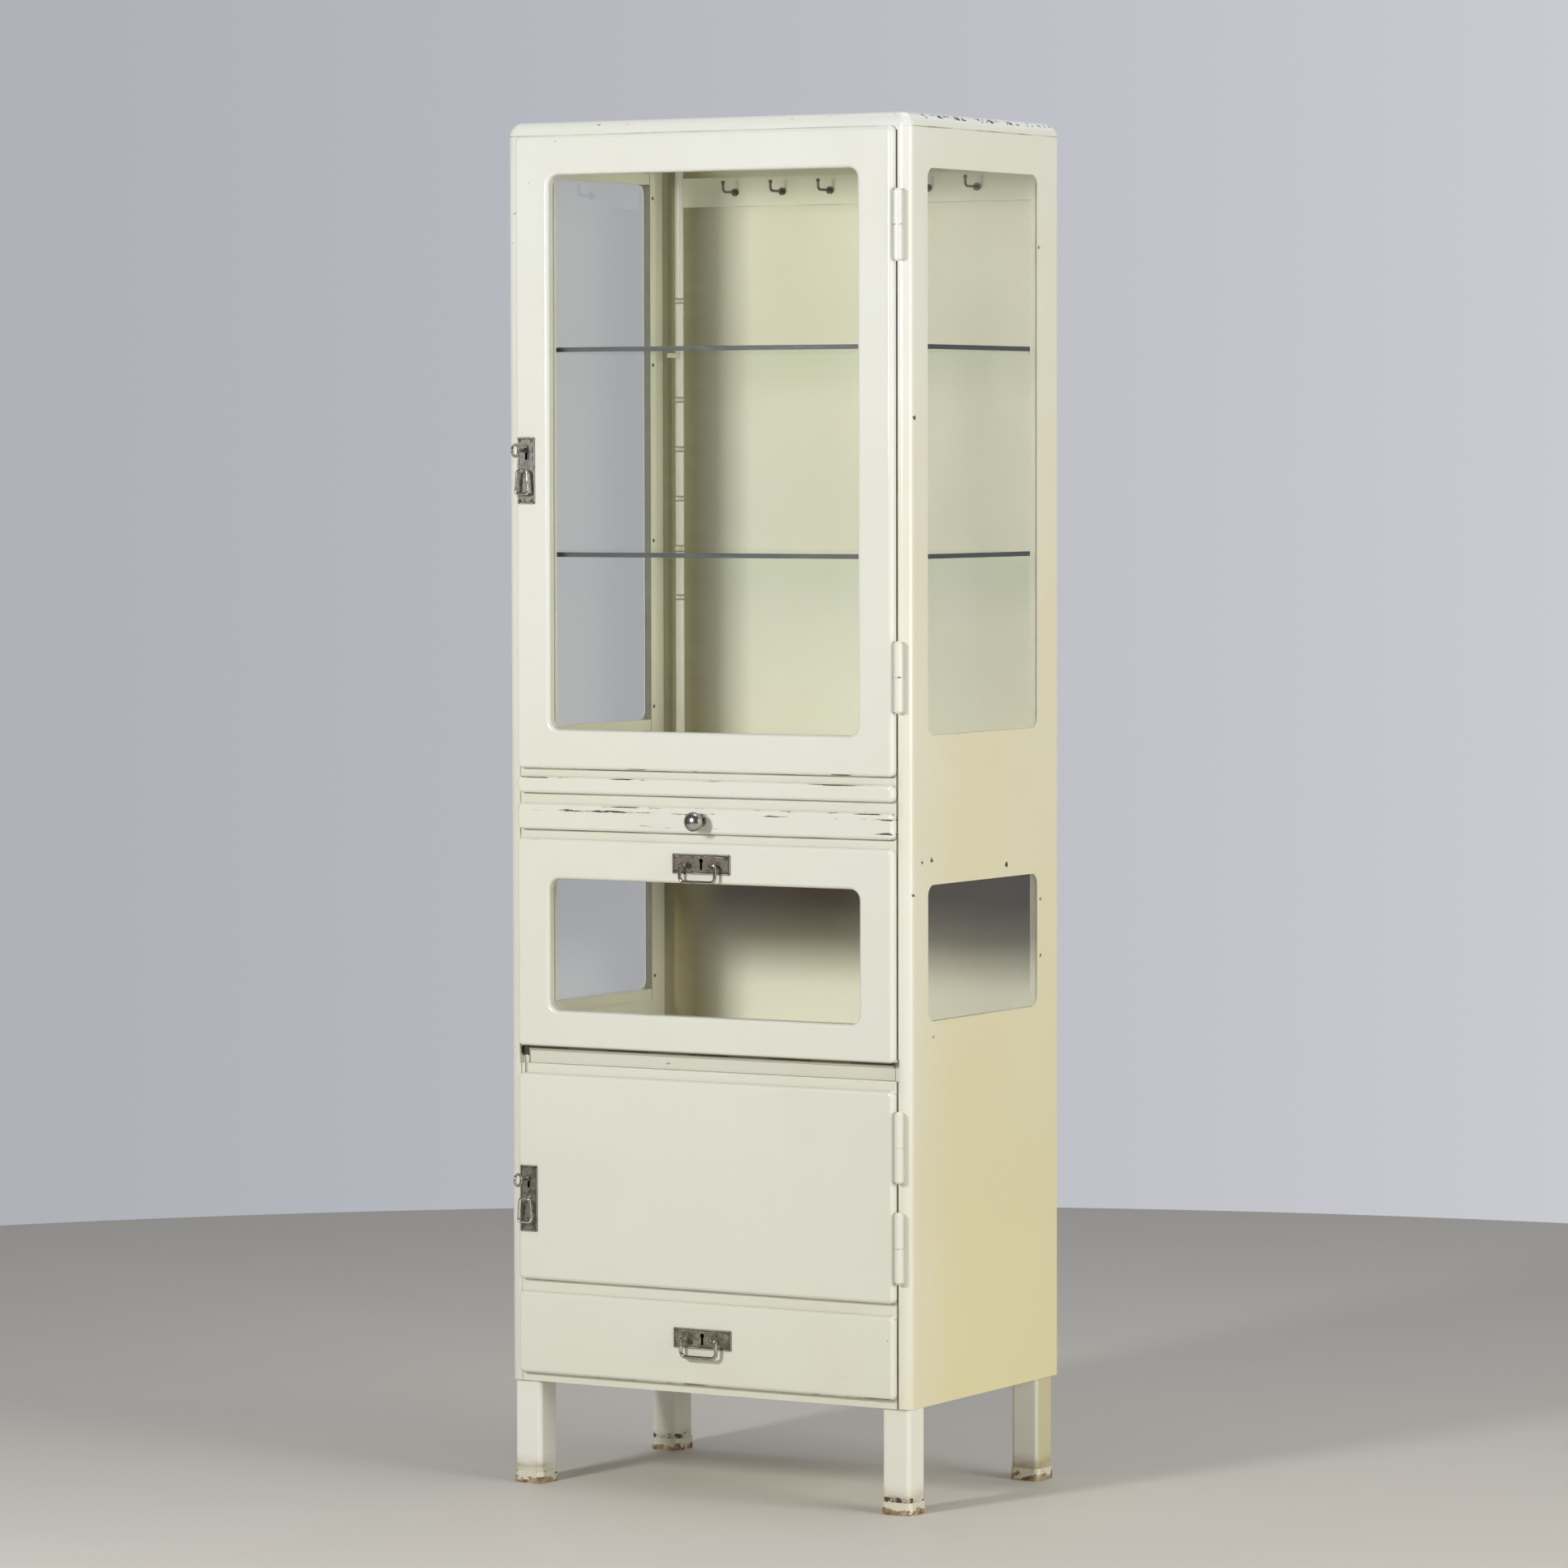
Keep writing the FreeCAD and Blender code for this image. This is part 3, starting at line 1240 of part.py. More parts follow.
BOLT_Y = ("bolt_y", "bolt_y + bolt_thickness")
BOLT_WAY_Y = ("bolt_y - slot_gap/2", "bolt_y + bolt_thickness + slot_gap/2")


def lock_case(label, x, z, key_x, key_z, way):
    """A case between two places along X and Z, with its keyhole and the way for its bolt."""
    block = box(label + "_block", x, ("case_front_y", "case_back_y"), z)
    space = box(
        label + "_space", (f"{x[0]} + case_wall", f"{x[1]} - case_wall"),
        ("case_front_y + case_wall", "case_back_y - case_wall"),
        (f"{z[0]} + case_wall", f"{z[1]} - case_wall"))
    hole = keyhole(
        label + "_keyhole", key_x, key_z, "case_front_y - overrun",
        "case_front_y + 2*case_wall")
    return node(label, cut(label + "_hollow", block, space, hole, way))


def door_lock(door, key_z):
    """The lock of a side-hung door, whose bolt shoots towards the left stile."""
    way = box(
        door + "_case_way", ("case_left - overrun", "case_left + 2*case_wall"), BOLT_WAY_Y,
        (f"{key_z} - bolt_height/2 - slot_gap/2", f"{key_z} + bolt_height/2 + slot_gap/2"))
    lock_case(
        door + "_lock_case", ("case_left", "case_left + case_width"),
        (f"{key_z} - case_height/2", f"{key_z} + case_height/2"), "lock_x", key_z, way)
    node(door + "_lock_bolt", box(
        door + "_bolt_bar", ("case_left - sheet", "case_left - sheet + bolt_length"), BOLT_Y,
        (f"{key_z} - bolt_height/2", f"{key_z} + bolt_height/2")))


def upright_lock(front, case_top, bolt_low, bolt_high, key_z):
    """The lock of the flap or the drawer, whose bolt shoots upwards into the rail."""
    way = box(
        front + "_case_way", ("-bolt_height/2 - slot_gap/2", "bolt_height/2 + slot_gap/2"),
        BOLT_WAY_Y, (f"{case_top} - 2*case_wall", f"{case_top} + overrun"))
    lock_case(
        front + "_lock_case", ("-case_height/2", "case_height/2"),
        (f"{case_top} - case_width", case_top), "0", key_z, way)
    node(front + "_lock_bolt", box(
        front + "_bolt_bar", ("-bolt_height/2", "bolt_height/2"), BOLT_Y,
        (bolt_low, bolt_high)))


door_lock("upper", "upper_lock_z")
door_lock("lower", "lower_lock_z")
upright_lock("flap", "flap_step_top - sheet", "flap_step_top - bolt_length", "flap_step_top",
             "flap_key_z")
upright_lock("drawer", "drawer_case_top", "drawer_plate_z - bolt_height/2",
             "drawer_top - overlay - rebate_gap", "drawer_key_z")


# Keys of the two doors: shank, collar, bit and ring bow in one piece

def key(label, z):
    tip_y = "(bolt_y - key_tip_gap)"
    bow_y = "(plate_y - key_reach + key_bow_radius + key_bow_wire)"
    shank = cylinder(
        label + "_shank", "key_shank_radius", f"{tip_y} - {bow_y} - key_bow_radius", "-y",
        ("lock_x", tip_y, z))
    collar = cylinder(
        label + "_collar", "key_collar_radius", "key_collar_length", "-y",
        ("lock_x", "plate_y - key_collar_gap", z))
    bow = doc.addObject("Part::Torus", label + "_bow")
    bind(bow, Radius1="key_bow_radius", Radius2="key_bow_wire")
    turn(bow, (0, 1, 0), 90)
    put(bow, "lock_x", bow_y, z)
    bit = box(
        label + "_bit", ("lock_x - key_bit_thickness/2", "lock_x + key_bit_thickness/2"),
        (f"{tip_y} - key_bit_width", tip_y), (f"{z} - key_bit_length", z))
    return node(label, fuse(label + "_solid", shank, collar, bow, bit))


key("upper_key", "upper_lock_z")
key("lower_key", "lower_lock_z")


# Sliding pieces: a front with rolled edges, and a tray of folded sheet behind it

def slide_front(name, bottom, top, lap):
    """A front whose back is open inside a lap of that width."""
    skin = pan_skin(name + "_skin", bottom, top)
    inside = pan_skin(name + "_inside", bottom, top, "sheet")
    inside.setExpression("Placement.Base.y", size("rear_y - sheet"))
    back_opening = box(
        name + "_back_opening", (f"{lap} - front_width/2", f"front_width/2 - {lap}"),
        ("rear_y - 2*sheet", "rear_y + overrun"), (f"{bottom} + {lap}", f"{top} - {lap}"))
    return cut(name + "_shell", skin, inside, back_opening)


def slide_box(name, half_width, low, high, back_y, front_y="rear_y"):
    """An open-topped box between two heights, folded from sheet."""
    block = box(name + "_block", (f"-{half_width}", half_width), (front_y, back_y), (low, high))
    space = box(
        name + "_space", (f"sheet - {half_width}", f"{half_width} - sheet"),
        (f"{front_y} + sheet", f"{back_y} - sheet"), (f"{low} + sheet", f"{high} + overrun"))
    return cut(name + "_folded", block, space)


SHELF_BACK_Y = "(back_inner_y - slide_back_gap)"
node("pull_out_shelf", fuse(
    "pull_out_shelf_solid", slide_front("shelf_front", "shelf_bottom", "shelf_top", "overlay"),
    box("shelf_front_wall", ("-slide_half_width", "slide_half_width"), ("rear_y - sheet", "rear_y"),
        ("shelf_bottom + sheet", "shelf_top - sheet")),
    cut("shelf_tray",
        box("shelf_block", ("-slide_half_width", "slide_half_width"), ("rear_y", SHELF_BACK_Y),
            (SHELF_SLIDE_Z, f"{SHELF_SLIDE_Z} + shelf_flange")),
        box("shelf_underside", ("sheet - slide_half_width", "slide_half_width - sheet"),
            ("rear_y + sheet", f"{SHELF_BACK_Y} - sheet"),
            (f"{SHELF_SLIDE_Z} - overrun", f"{SHELF_SLIDE_Z} + shelf_flange - sheet")))))
TRAY_MIDDLE_Z = "(tray_bottom + tray_front_height/2)"
node("tray", cut(
    "tray_drilled",
    fuse("tray_solid", slide_front("tray_front", "tray_bottom", "tray_top", "overlay"),
         box("tray_front_wall", ("-slide_half_width", "slide_half_width"),
             ("rear_y - sheet", "rear_y"), ("tray_bottom + sheet", "tray_top - sheet")),
         slide_box("tray_box", "slide_half_width", TRAY_SLIDE_Z,
                   f"({TRAY_SLIDE_Z} + tray_wall_height)", SHELF_BACK_Y)),
    cylinder("tray_knob_hole", "knob_stud_radius + running_gap", "overrun", "-y",
             ("0", "face_y + 2*sheet", TRAY_MIDDLE_Z))))

# Tray knob: a flattened ball on a neck and a collar, its stud riveted over behind the front

knob_ball = doc.addObject("Part::Ellipsoid", "knob_ball")
bind(knob_ball, Radius1="knob_radius", Radius2="knob_radius", Radius3="knob_half_depth")
put(knob_ball, "0", "face_y - knob_stand_off", TRAY_MIDDLE_Z)
knob_base = cylinder("knob_base", "knob_base_radius", "knob_base_height", "-y",
                     ("0", "face_y", TRAY_MIDDLE_Z))
knob_neck = cylinder("knob_neck", "knob_neck_radius", "knob_stand_off", "-y",
                     ("0", "face_y", TRAY_MIDDLE_Z))
knob_stud = cylinder("knob_stud", "knob_stud_radius", "sheet + knob_stand_off", "-y",
                     ("0", "face_y + sheet", TRAY_MIDDLE_Z))
knob_rivet = cylinder("knob_rivet", "knob_rivet_radius", "knob_rivet_height", "-y",
                      ("0", "face_y + sheet + knob_rivet_height", TRAY_MIDDLE_Z))
node("tray_knob", fuse(
    "tray_knob_solid", knob_ball, knob_base, knob_neck, knob_stud, knob_rivet))

# Drawer: its front and its box

node("drawer_front", cut(
    "drawer_front_solid", slide_front("drawer_face", "drawer_bottom", "drawer_top", "drawer_lap"),
    keyhole("drawer_keyhole", "0", "drawer_key_z", "face_y - overrun", "face_y + overrun/2")))
DRAWER_BACK_Y = "(back_inner_y - drawer_back_gap)"
node("drawer_box", cut(
    "drawer_box_solid",
    slide_box("drawer_tray", "drawer_half_width", DRAWER_SLIDE_Z,
              f"({DRAWER_SLIDE_Z} + drawer_wall_height)", DRAWER_BACK_Y),
    box("drawer_case_opening", ("-case_height/2 - fit_gap", "case_height/2 + fit_gap"),
        ("rear_y - overrun", "rear_y + 2*sheet"),
        ("drawer_case_top - case_width - fit_gap", "drawer_case_top + fit_gap"))))

# Every object is sound before anything is written

doc.recompute()
faults = [thing.Name for thing in doc.Objects if {"Invalid", "Error"} & set(thing.State)]
if faults:
    raise RuntimeError("objects that failed: " + ", ".join(faults))
for made in NODES:
    if made.Shape.isNull() or not made.Shape.isValid() or not made.Shape.Solids:
        raise RuntimeError("not a sound solid: " + made.Label)
os.makedirs("parts", exist_ok=True)
for made in NODES:
    made.Shape.exportStep(f"parts/{made.Label}.step")
print(len(NODES), "sub-parts written")
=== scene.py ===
import math

import bmesh
import bpy
from mathutils import Matrix, Vector


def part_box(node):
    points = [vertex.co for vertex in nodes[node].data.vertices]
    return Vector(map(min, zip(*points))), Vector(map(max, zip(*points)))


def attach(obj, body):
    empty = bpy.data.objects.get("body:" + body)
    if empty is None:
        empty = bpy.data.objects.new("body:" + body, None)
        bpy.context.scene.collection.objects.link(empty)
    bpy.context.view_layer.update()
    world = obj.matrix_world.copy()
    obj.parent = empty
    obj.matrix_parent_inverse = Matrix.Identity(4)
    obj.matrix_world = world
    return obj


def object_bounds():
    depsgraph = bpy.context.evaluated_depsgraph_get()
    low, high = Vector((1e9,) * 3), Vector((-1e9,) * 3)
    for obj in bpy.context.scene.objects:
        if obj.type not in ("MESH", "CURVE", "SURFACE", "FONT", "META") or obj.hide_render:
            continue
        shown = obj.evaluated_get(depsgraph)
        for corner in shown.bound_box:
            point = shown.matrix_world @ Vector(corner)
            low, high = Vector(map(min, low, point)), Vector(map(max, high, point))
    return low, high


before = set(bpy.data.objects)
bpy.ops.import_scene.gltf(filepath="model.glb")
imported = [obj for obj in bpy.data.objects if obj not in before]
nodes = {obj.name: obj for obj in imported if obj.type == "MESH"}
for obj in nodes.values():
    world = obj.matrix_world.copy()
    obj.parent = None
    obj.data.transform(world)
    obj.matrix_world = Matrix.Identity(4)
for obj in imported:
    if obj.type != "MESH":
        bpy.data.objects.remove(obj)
cad_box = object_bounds()

# Carcass. Top, sides, back, floors and rails are bent from steel sheet, welded, filled and
# stove-enamelled ivory. The film has yellowed towards the floor and is yellower on the right side,
# where it is painted lighter towards the front edge as painted light; inside, it is painted
# lighter towards the floor as painted light. It is knocked off in small dark chips along the top
# edge and round the side.

IVORY = (0.80, 0.81, 0.755)
IVORY_LOW = (0.74, 0.74, 0.635)
IVORY_AGED = (0.70, 0.67, 0.50)
SIDE_IVORY = (0.765, 0.772, 0.665)
SIDE_IVORY_LOW = (0.735, 0.668, 0.385)
INSIDE_IVORY = (0.88, 0.855, 0.665)
# Inside, the enamel is painted lighter towards the floor: painted light.
INSIDE_IVORY_LIT_LOW = (0.95, 0.945, 0.84)
SIDE_IVORY_AGED = (0.72, 0.60, 0.36)
INSIDE_IVORY_AGED = (0.70, 0.62, 0.40)
# Bare steel where the film is chipped off; also used as painted shade behind the keyholes.
BARE_SHEET_AND_SHADE = (0.055, 0.045, 0.035)
WHITEST_Z = 1.65
YELLOWEST_Z = 0.10
TOP_Z = cad_box[1][2]
DOOR_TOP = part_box("upper_door_frame")[1].z
SIDE_X = cad_box[1][0]


def lay(tree, kind, plugs=None, **settings):
    """Puts a node in a tree, sets what it says and plugs in its values and links."""
    node = tree.nodes.new("ShaderNode" + kind)
    for name, value in settings.items():
        setattr(node, name, value)
    for name, value in (plugs or {}).items():
        if isinstance(value, bpy.types.NodeSocket):
            tree.links.new(value, node.inputs[name])
        else:
            node.inputs[name].default_value = value
    return node


def reckon(tree, operation, *values):
    """A sum of one, two or three values."""
    return lay(tree, "Math", dict(enumerate(values)), operation=operation).outputs[0]


def fade(tree, value, start, end, low=0.0, high=1.0):
    """Turns a value from start to end into one from low to high."""
    plugs = {"Value": value, "From Min": start, "From Max": end, "To Min": low, "To Max": high}
    return lay(tree, "MapRange", plugs).outputs[0]


def mix_colours(tree, share, first, second):
    """The first colour, and the second where share is one."""
    node = lay(tree, "Mix", data_type="RGBA")
    for index, value in ((0, share), (6, first), (7, second)):
        if isinstance(value, bpy.types.NodeSocket):
            tree.links.new(value, node.inputs[index])
        elif index:
            node.inputs[index].default_value = (*value, 1.0)
        else:
            node.inputs[index].default_value = value
    return node.outputs[2]


def stretched(tree, vector, scale, place=(0.0, 0.0, 0.0)):
    """Coordinates that run faster or slower along each axis."""
    return lay(tree, "Mapping", {"Vector": vector, "Scale": scale, "Location": place}).outputs[0]


def noise(tree, vector, scale, detail=2.0, roughness=0.5):
    plugs = {"Vector": vector, "Scale": scale, "Detail": detail, "Roughness": roughness}
    return lay(tree, "TexNoise", plugs).outputs["Fac"]


def shared_effect(name, wants, gives):
    """An empty node group with named sockets."""
    tree = bpy.data.node_groups.new(name, "ShaderNodeTree")
    for label, kind in wants:
        tree.interface.new_socket(label, in_out="INPUT", socket_type="NodeSocket" + kind)
    for label, kind in gives:
        tree.interface.new_socket(label, in_out="OUTPUT", socket_type="NodeSocket" + kind)
    return tree, tree.nodes.new("NodeGroupInput").outputs, tree.nodes.new("NodeGroupOutput").inputs


def use_effect(tree, effect, plugs):
    node = lay(tree, "Group", node_tree=effect)
    for name, value in plugs.items():
        if isinstance(value, bpy.types.NodeSocket):
            tree.links.new(value, node.inputs[name])
        elif isinstance(value, tuple):
            node.inputs[name].default_value = (*value, 1.0)
        else:
            node.inputs[name].default_value = value
    return node.outputs


def new_finish(name, **plain):
    """A node material: its tree, its shader with the plain sockets set, and Object coordinates."""
    material = bpy.data.materials.new(name)
    material.use_nodes = True
    tree = material.node_tree
    shader = tree.nodes["Principled BSDF"]
    for label, value in plain.items():
        shader.inputs[label.replace("_", " ")].default_value = value
    return material, tree, shader, tree.nodes.new("ShaderNodeTexCoord").outputs["Object"]


def finish_node(name, material):
    """Gives a CAD node its finish."""
    for slot in nodes[name].material_slots:
        slot.material = material


# The film: cloudy yellowing, faint runs down the sheet, fly specks, and a brushed surface.
film, want, give = shared_effect(
    "enamel_film",
    (("Vector", "Vector"), ("Ivory", "Color"), ("Low Ivory", "Color"), ("Aged Ivory", "Color"),
     ("Ageing", "Float"), ("Speck Amount", "Float")),
    (("Color", "Color"), ("Roughness", "Float"), ("Height", "Float")))
height = lay(film, "SeparateXYZ", {0: want["Vector"]}).outputs[2]
down = fade(film, height, WHITEST_Z, YELLOWEST_Z)
cloud = noise(film, want["Vector"], 2.3, 3.0, 0.6)
runs = noise(film, stretched(film, want["Vector"], (38.0, 38.0, 2.2)), 1.0, 2.0)
darkening = reckon(film, "MULTIPLY", fade(film, cloud, 0.42, 0.72), want["Ageing"])
darkening = reckon(film, "MULTIPLY_ADD", fade(film, runs, 0.45, 0.90), 0.05, darkening)
plain_coat = mix_colours(film, down, want["Ivory"], want["Low Ivory"])
stained = mix_colours(film, darkening, plain_coat, want["Aged Ivory"])
speck_cell = lay(film, "TexVoronoi", {"Vector": want["Vector"], "Scale": 26.0}).outputs["Distance"]
speck_gate = noise(film, want["Vector"], 7.0, 1.0)
speck = reckon(
    film, "MULTIPLY", fade(film, speck_cell, 0.035, 0.022), fade(film, speck_gate, 0.56, 0.60))
speck = reckon(film, "MULTIPLY", speck, want["Speck Amount"])
film.links.new(mix_colours(film, speck, stained, (0.16, 0.12, 0.07)), give["Color"])
wiped = noise(film, stretched(film, want["Vector"], (9.0, 9.0, 3.0)), 1.0, 3.0)
film.links.new(fade(film, wiped, 0.3, 0.75, 0.13, 0.27), give["Roughness"])
peel = noise(film, want["Vector"], 420.0, 1.0)
wave = noise(film, stretched(film, want["Vector"], (1.0, 1.0, 0.6)), 9.0, 1.0)
film.links.new(reckon(film, "MULTIPLY_ADD", wave, 1.2, peel), give["Height"])

# Knocks: the film chipped off where an edge is touched, with a brown rim.
knocks, want, give = shared_effect(
    "enamel_knocks",
    (("Vector", "Vector"), ("Edge", "Float"), ("Amount", "Float"), ("Size", "Float")),
    (("Chip", "Float"), ("Rim", "Float")))
patch = noise(knocks, want["Vector"], 5.0)
bite = noise(knocks, want["Vector"], want["Size"], 3.0, 0.62)
worn = reckon(knocks, "MULTIPLY_ADD", fade(knocks, patch, 0.35, 0.65), 0.22, bite)
worn = reckon(knocks, "SUBTRACT", worn, reckon(knocks, "SUBTRACT", 1.0, want["Edge"]))
limit = reckon(knocks, "SUBTRACT", 1.0, want["Amount"])
over = reckon(knocks, "SUBTRACT", worn, limit)
knocks.links.new(fade(knocks, over, 0.0, 0.015), give["Chip"])
knocks.links.new(fade(knocks, over, -0.035, 0.0), give["Rim"])


def near(tree, vector, bands):
    """One where a point is within any of the bands: axis, place, half width and soft edge. A band
    with more than one set of these counts only where all of them do."""
    axes = lay(tree, "SeparateXYZ", {0: vector}).outputs
    total = None
    for band in bands:
        share = None
        for start in range(0, len(band), 4):
            axis, place, half, soft = band[start:start + 4]
            gap = reckon(tree, "ABSOLUTE", reckon(tree, "SUBTRACT", axes[axis], place))
            part = lay(tree, "MapRange", {"Value": gap, "From Min": half + soft, "From Max": half},
                       interpolation_type="SMOOTHSTEP").outputs[0]
            share = part if share is None else reckon(tree, "MULTIPLY", share, part)
        total = share if total is None else reckon(tree, "MAXIMUM", total, share)
    return total


def spots(tree, vector, places):
    """One where a point is within any of the spots: x, y, z and radius."""
    total = None
    ragged = fade(tree, noise(tree, vector, 420.0), 0.3, 0.7, -0.0016, 0.0016)
    for x, y, z, radius in places:
        gap = lay(tree, "VectorMath", {0: vector, 1: (x, y, z)}, operation="DISTANCE").outputs[1]
        dot = fade(tree, reckon(tree, "ADD", gap, ragged), radius, radius - 0.0004)
        total = dot if total is None else reckon(tree, "MAXIMUM", total, dot)
    return total


def enamel(name, ivory, low, aged=IVORY_AGED, ageing=0.35, specks=0.8, bands=(), amount=0.2,
           size=60.0, stretch=(1.0, 1.0, 1.0), dirt_and_shade=(), dirt_and_shade_colour=(0.20, 0.15, 0.08),
           dirt_and_shade_even=False, darkening=(), painted_shade_colour=(0.105, 0.066, 0.014), dots=(),
           yellow_side=False, inner_wall=False):
    """Stove enamel on sheet steel, chipped near the bands and bare in the dots. Near the soiling
    bands it darkens, from real soiling in some places and as painted shade in gaps, slots and
    recesses in others; near the darkening bands it is evenly darkened as painted shade. With
    yellow_side, its outer right face is yellower and painted lighter towards its front edge as
    painted light. With inner_wall, its faces inside the cabinet are a side wall's inner ones."""
    material, tree, shader, spot = new_finish(
        name, IOR=1.5, Coat_Weight=0.25, Coat_Roughness=0.05)
    if yellow_side:
        axes = lay(tree, "SeparateXYZ", {0: spot}).outputs
        outer = fade(tree, axes[0], SIDE_X - 0.003, SIDE_X)
        # Lighter towards the side's front edge: painted light.
        rearward = fade(tree, axes[1], -0.168, -0.060, 0.45, 1.0)
        side = reckon(tree, "MULTIPLY", outer, rearward)
        ivory = mix_colours(tree, side, ivory, SIDE_IVORY)
        low = mix_colours(tree, side, low, SIDE_IVORY_LOW)
    if inner_wall:
        axes = lay(tree, "SeparateXYZ", {0: spot}).outputs
        within = fade(tree, reckon(tree, "ABSOLUTE", axes[0]), SIDE_X - 0.0005, SIDE_X - 0.0011)
        within = reckon(tree, "MULTIPLY", within, fade(tree, axes[1], -0.156, -0.152))
        ivory = mix_colours(tree, within, ivory, INSIDE_IVORY)
        low = mix_colours(tree, within, low, INSIDE_IVORY_LIT_LOW)
    coat = use_effect(tree, film, {
        "Vector": spot, "Ivory": ivory, "Low Ivory": low, "Aged Ivory": aged,
        "Ageing": ageing, "Speck Amount": specks})
    colour, rough, skin = coat["Color"], coat["Roughness"], coat["Height"]
    # Near the darkening bands the colour is evenly darkened: painted shade.
    if darkening:
        colour = mix_colours(tree, near(tree, spot, darkening), colour, painted_shade_colour)
    # Soiling in some places; painted shade in gaps, slots and recesses in others.
    if dirt_and_shade:
        cloud = noise(tree, stretched(tree, spot, (14.0, 14.0, 60.0)), 1.0, 3.0)
        even_share = (0.86, 0.92) if dirt_and_shade_even else (0.0, 1.0)
        cloud = fade(tree, cloud, 0.3, 0.7, *even_share)
        soiled_and_shaded = reckon(tree, "MULTIPLY", near(tree, spot, dirt_and_shade), cloud)
        colour = mix_colours(tree, soiled_and_shaded, colour, dirt_and_shade_colour)
    if bands:
        chips = use_effect(tree, knocks, {
            "Vector": stretched(tree, spot, stretch), "Edge": near(tree, spot, bands),
            "Amount": amount, "Size": size})
        colour = mix_colours(
            tree, reckon(tree, "MULTIPLY", chips["Rim"], 0.35), colour, (0.42, 0.33, 0.20))
        colour = mix_colours(tree, chips["Chip"], colour, BARE_SHEET_AND_SHADE)
        rough = fade(tree, chips["Chip"], 0.0, 1.0, rough, 0.62)
        skin = reckon(tree, "MULTIPLY_ADD", chips["Chip"], -9.0, skin)
    if dots:
        dot = spots(tree, spot, dots)
        colour = mix_colours(tree, dot, colour, BARE_SHEET_AND_SHADE)
        rough = fade(tree, dot, 0.0, 1.0, rough, 0.62)
    tree.links.new(colour, shader.inputs["Base Color"])
    tree.links.new(rough, shader.inputs["Roughness"])
    bump = lay(tree, "Bump", {"Height": skin, "Strength": 0.16, "Distance": 0.0004})
    tree.links.new(bump.outputs[0], shader.inputs["Normal"])
    return material


# Chips in the sides' film: x, y, z and radius.
LEFT_CHIPS = [(-0.2770, -0.1595, 0.5605, 0.0075)]
RIGHT_CHIPS = [
    (SIDE_X, -0.1394, 0.8171, 0.0022), (SIDE_X, -0.1147, 0.8188, 0.0028),
    (SIDE_X, 0.0794, 0.8035, 0.0036), (SIDE_X, 0.1706, 0.7548, 0.0022),
    (SIDE_X, 0.1575, 0.7127, 0.0026), (0.2955, -0.1569, 1.3706, 0.0034),
    (SIDE_X, 0.1706, 0.6816, 0.0020), (SIDE_X, -0.1109, 0.5968, 0.0018),
    (0.2955, -0.1600, 0.7771, 0.0026), (SIDE_X, 0.1663, 1.5895, 0.0022)]

# Just above the upper door the top is painted dark along the gap: painted shade.
finish_node("top_panel", enamel(
    "top_enamel", IVORY, IVORY_LOW, ageing=0.3, specks=0.5, amount=0.25, size=170.0,
    stretch=(0.5, 0.7, 1.0), yellow_side=True, bands=[(2, TOP_Z - 0.0045, 0.0022, 0.0015)],
    dirt_and_shade=[(2, DOOR_TOP + 0.0004, 0.0003, 0.0007)], dirt_and_shade_colour=(0.14, 0.12, 0.08)))
# On each side's front strip beside the fronts a dark line is painted shade in the gap.
finish_node("left_side", enamel(
    "left_side_enamel", IVORY, IVORY_LOW, ageing=0.45, specks=1.0, inner_wall=True,
    dirt_and_shade=[(0, -0.2782, 0.0005, 0.0008)], dots=LEFT_CHIPS))
finish_node("right_side", enamel(
    "right_side_enamel", IVORY, IVORY_LOW, aged=SIDE_IVORY_AGED, ageing=0.4, specks=1.0,
    yellow_side=True, inner_wall=True, dirt_and_shade=[(0, 0.2785, 0.0009, 0.0010)],
    dirt_and_shade_colour=(0.07, 0.065, 0.04), dirt_and_shade_even=True, dots=RIGHT_CHIPS))
inside_enamel = enamel(
    "inside_enamel", INSIDE_IVORY, INSIDE_IVORY, aged=INSIDE_IVORY_AGED, ageing=0.3, specks=0.4)
# On the back wall the brown band under the flap's ceiling is painted shade, and the darker left
# end is painted shade from the left side and stile.
BACK_FACE = (1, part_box("back_panel")[0].y, 0.0008, 0.0004)
finish_node("back_panel", enamel(
    "back_enamel", INSIDE_IVORY, INSIDE_IVORY_LIT_LOW, aged=INSIDE_IVORY_AGED, ageing=0.3,
    specks=0.4, darkening=[(2, 0.800, 0.045, 0.130, *BACK_FACE)],
    dirt_and_shade=[(0, -0.262, 0.008, 0.065, *BACK_FACE)], dirt_and_shade_even=True,
    dirt_and_shade_colour=(0.33, 0.28, 0.10)))
for name in ("upper_floor", "flap_floor", "flap_ceiling", "cupboard_floor", "bottom_panel"):
    finish_node(name, inside_enamel)

# Front rails. Strips of the same sheet between the doors and drawers, welded to the sides. The
# dark line along each rail just under a front's foot is painted shade in the gap.

front_feet = [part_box(name)[0].z for name in (
    "drawer_front", "lower_door_panel", "flap_frame", "tray", "pull_out_shelf",
    "upper_door_frame")]
rail_enamel = enamel(
    "rail_enamel", IVORY, IVORY_LOW, ageing=0.5, specks=0.6,
    dirt_and_shade=[(2, foot - 0.0004, 0.0004, 0.0012) for foot in front_feet],
    dirt_and_shade_colour=(0.12, 0.10, 0.06))
for name in ("bottom_rail", "rail_over_drawer", "rail_over_flap", "rail_over_tray",
             "rail_over_shelf"):
    finish_node(name, rail_enamel)
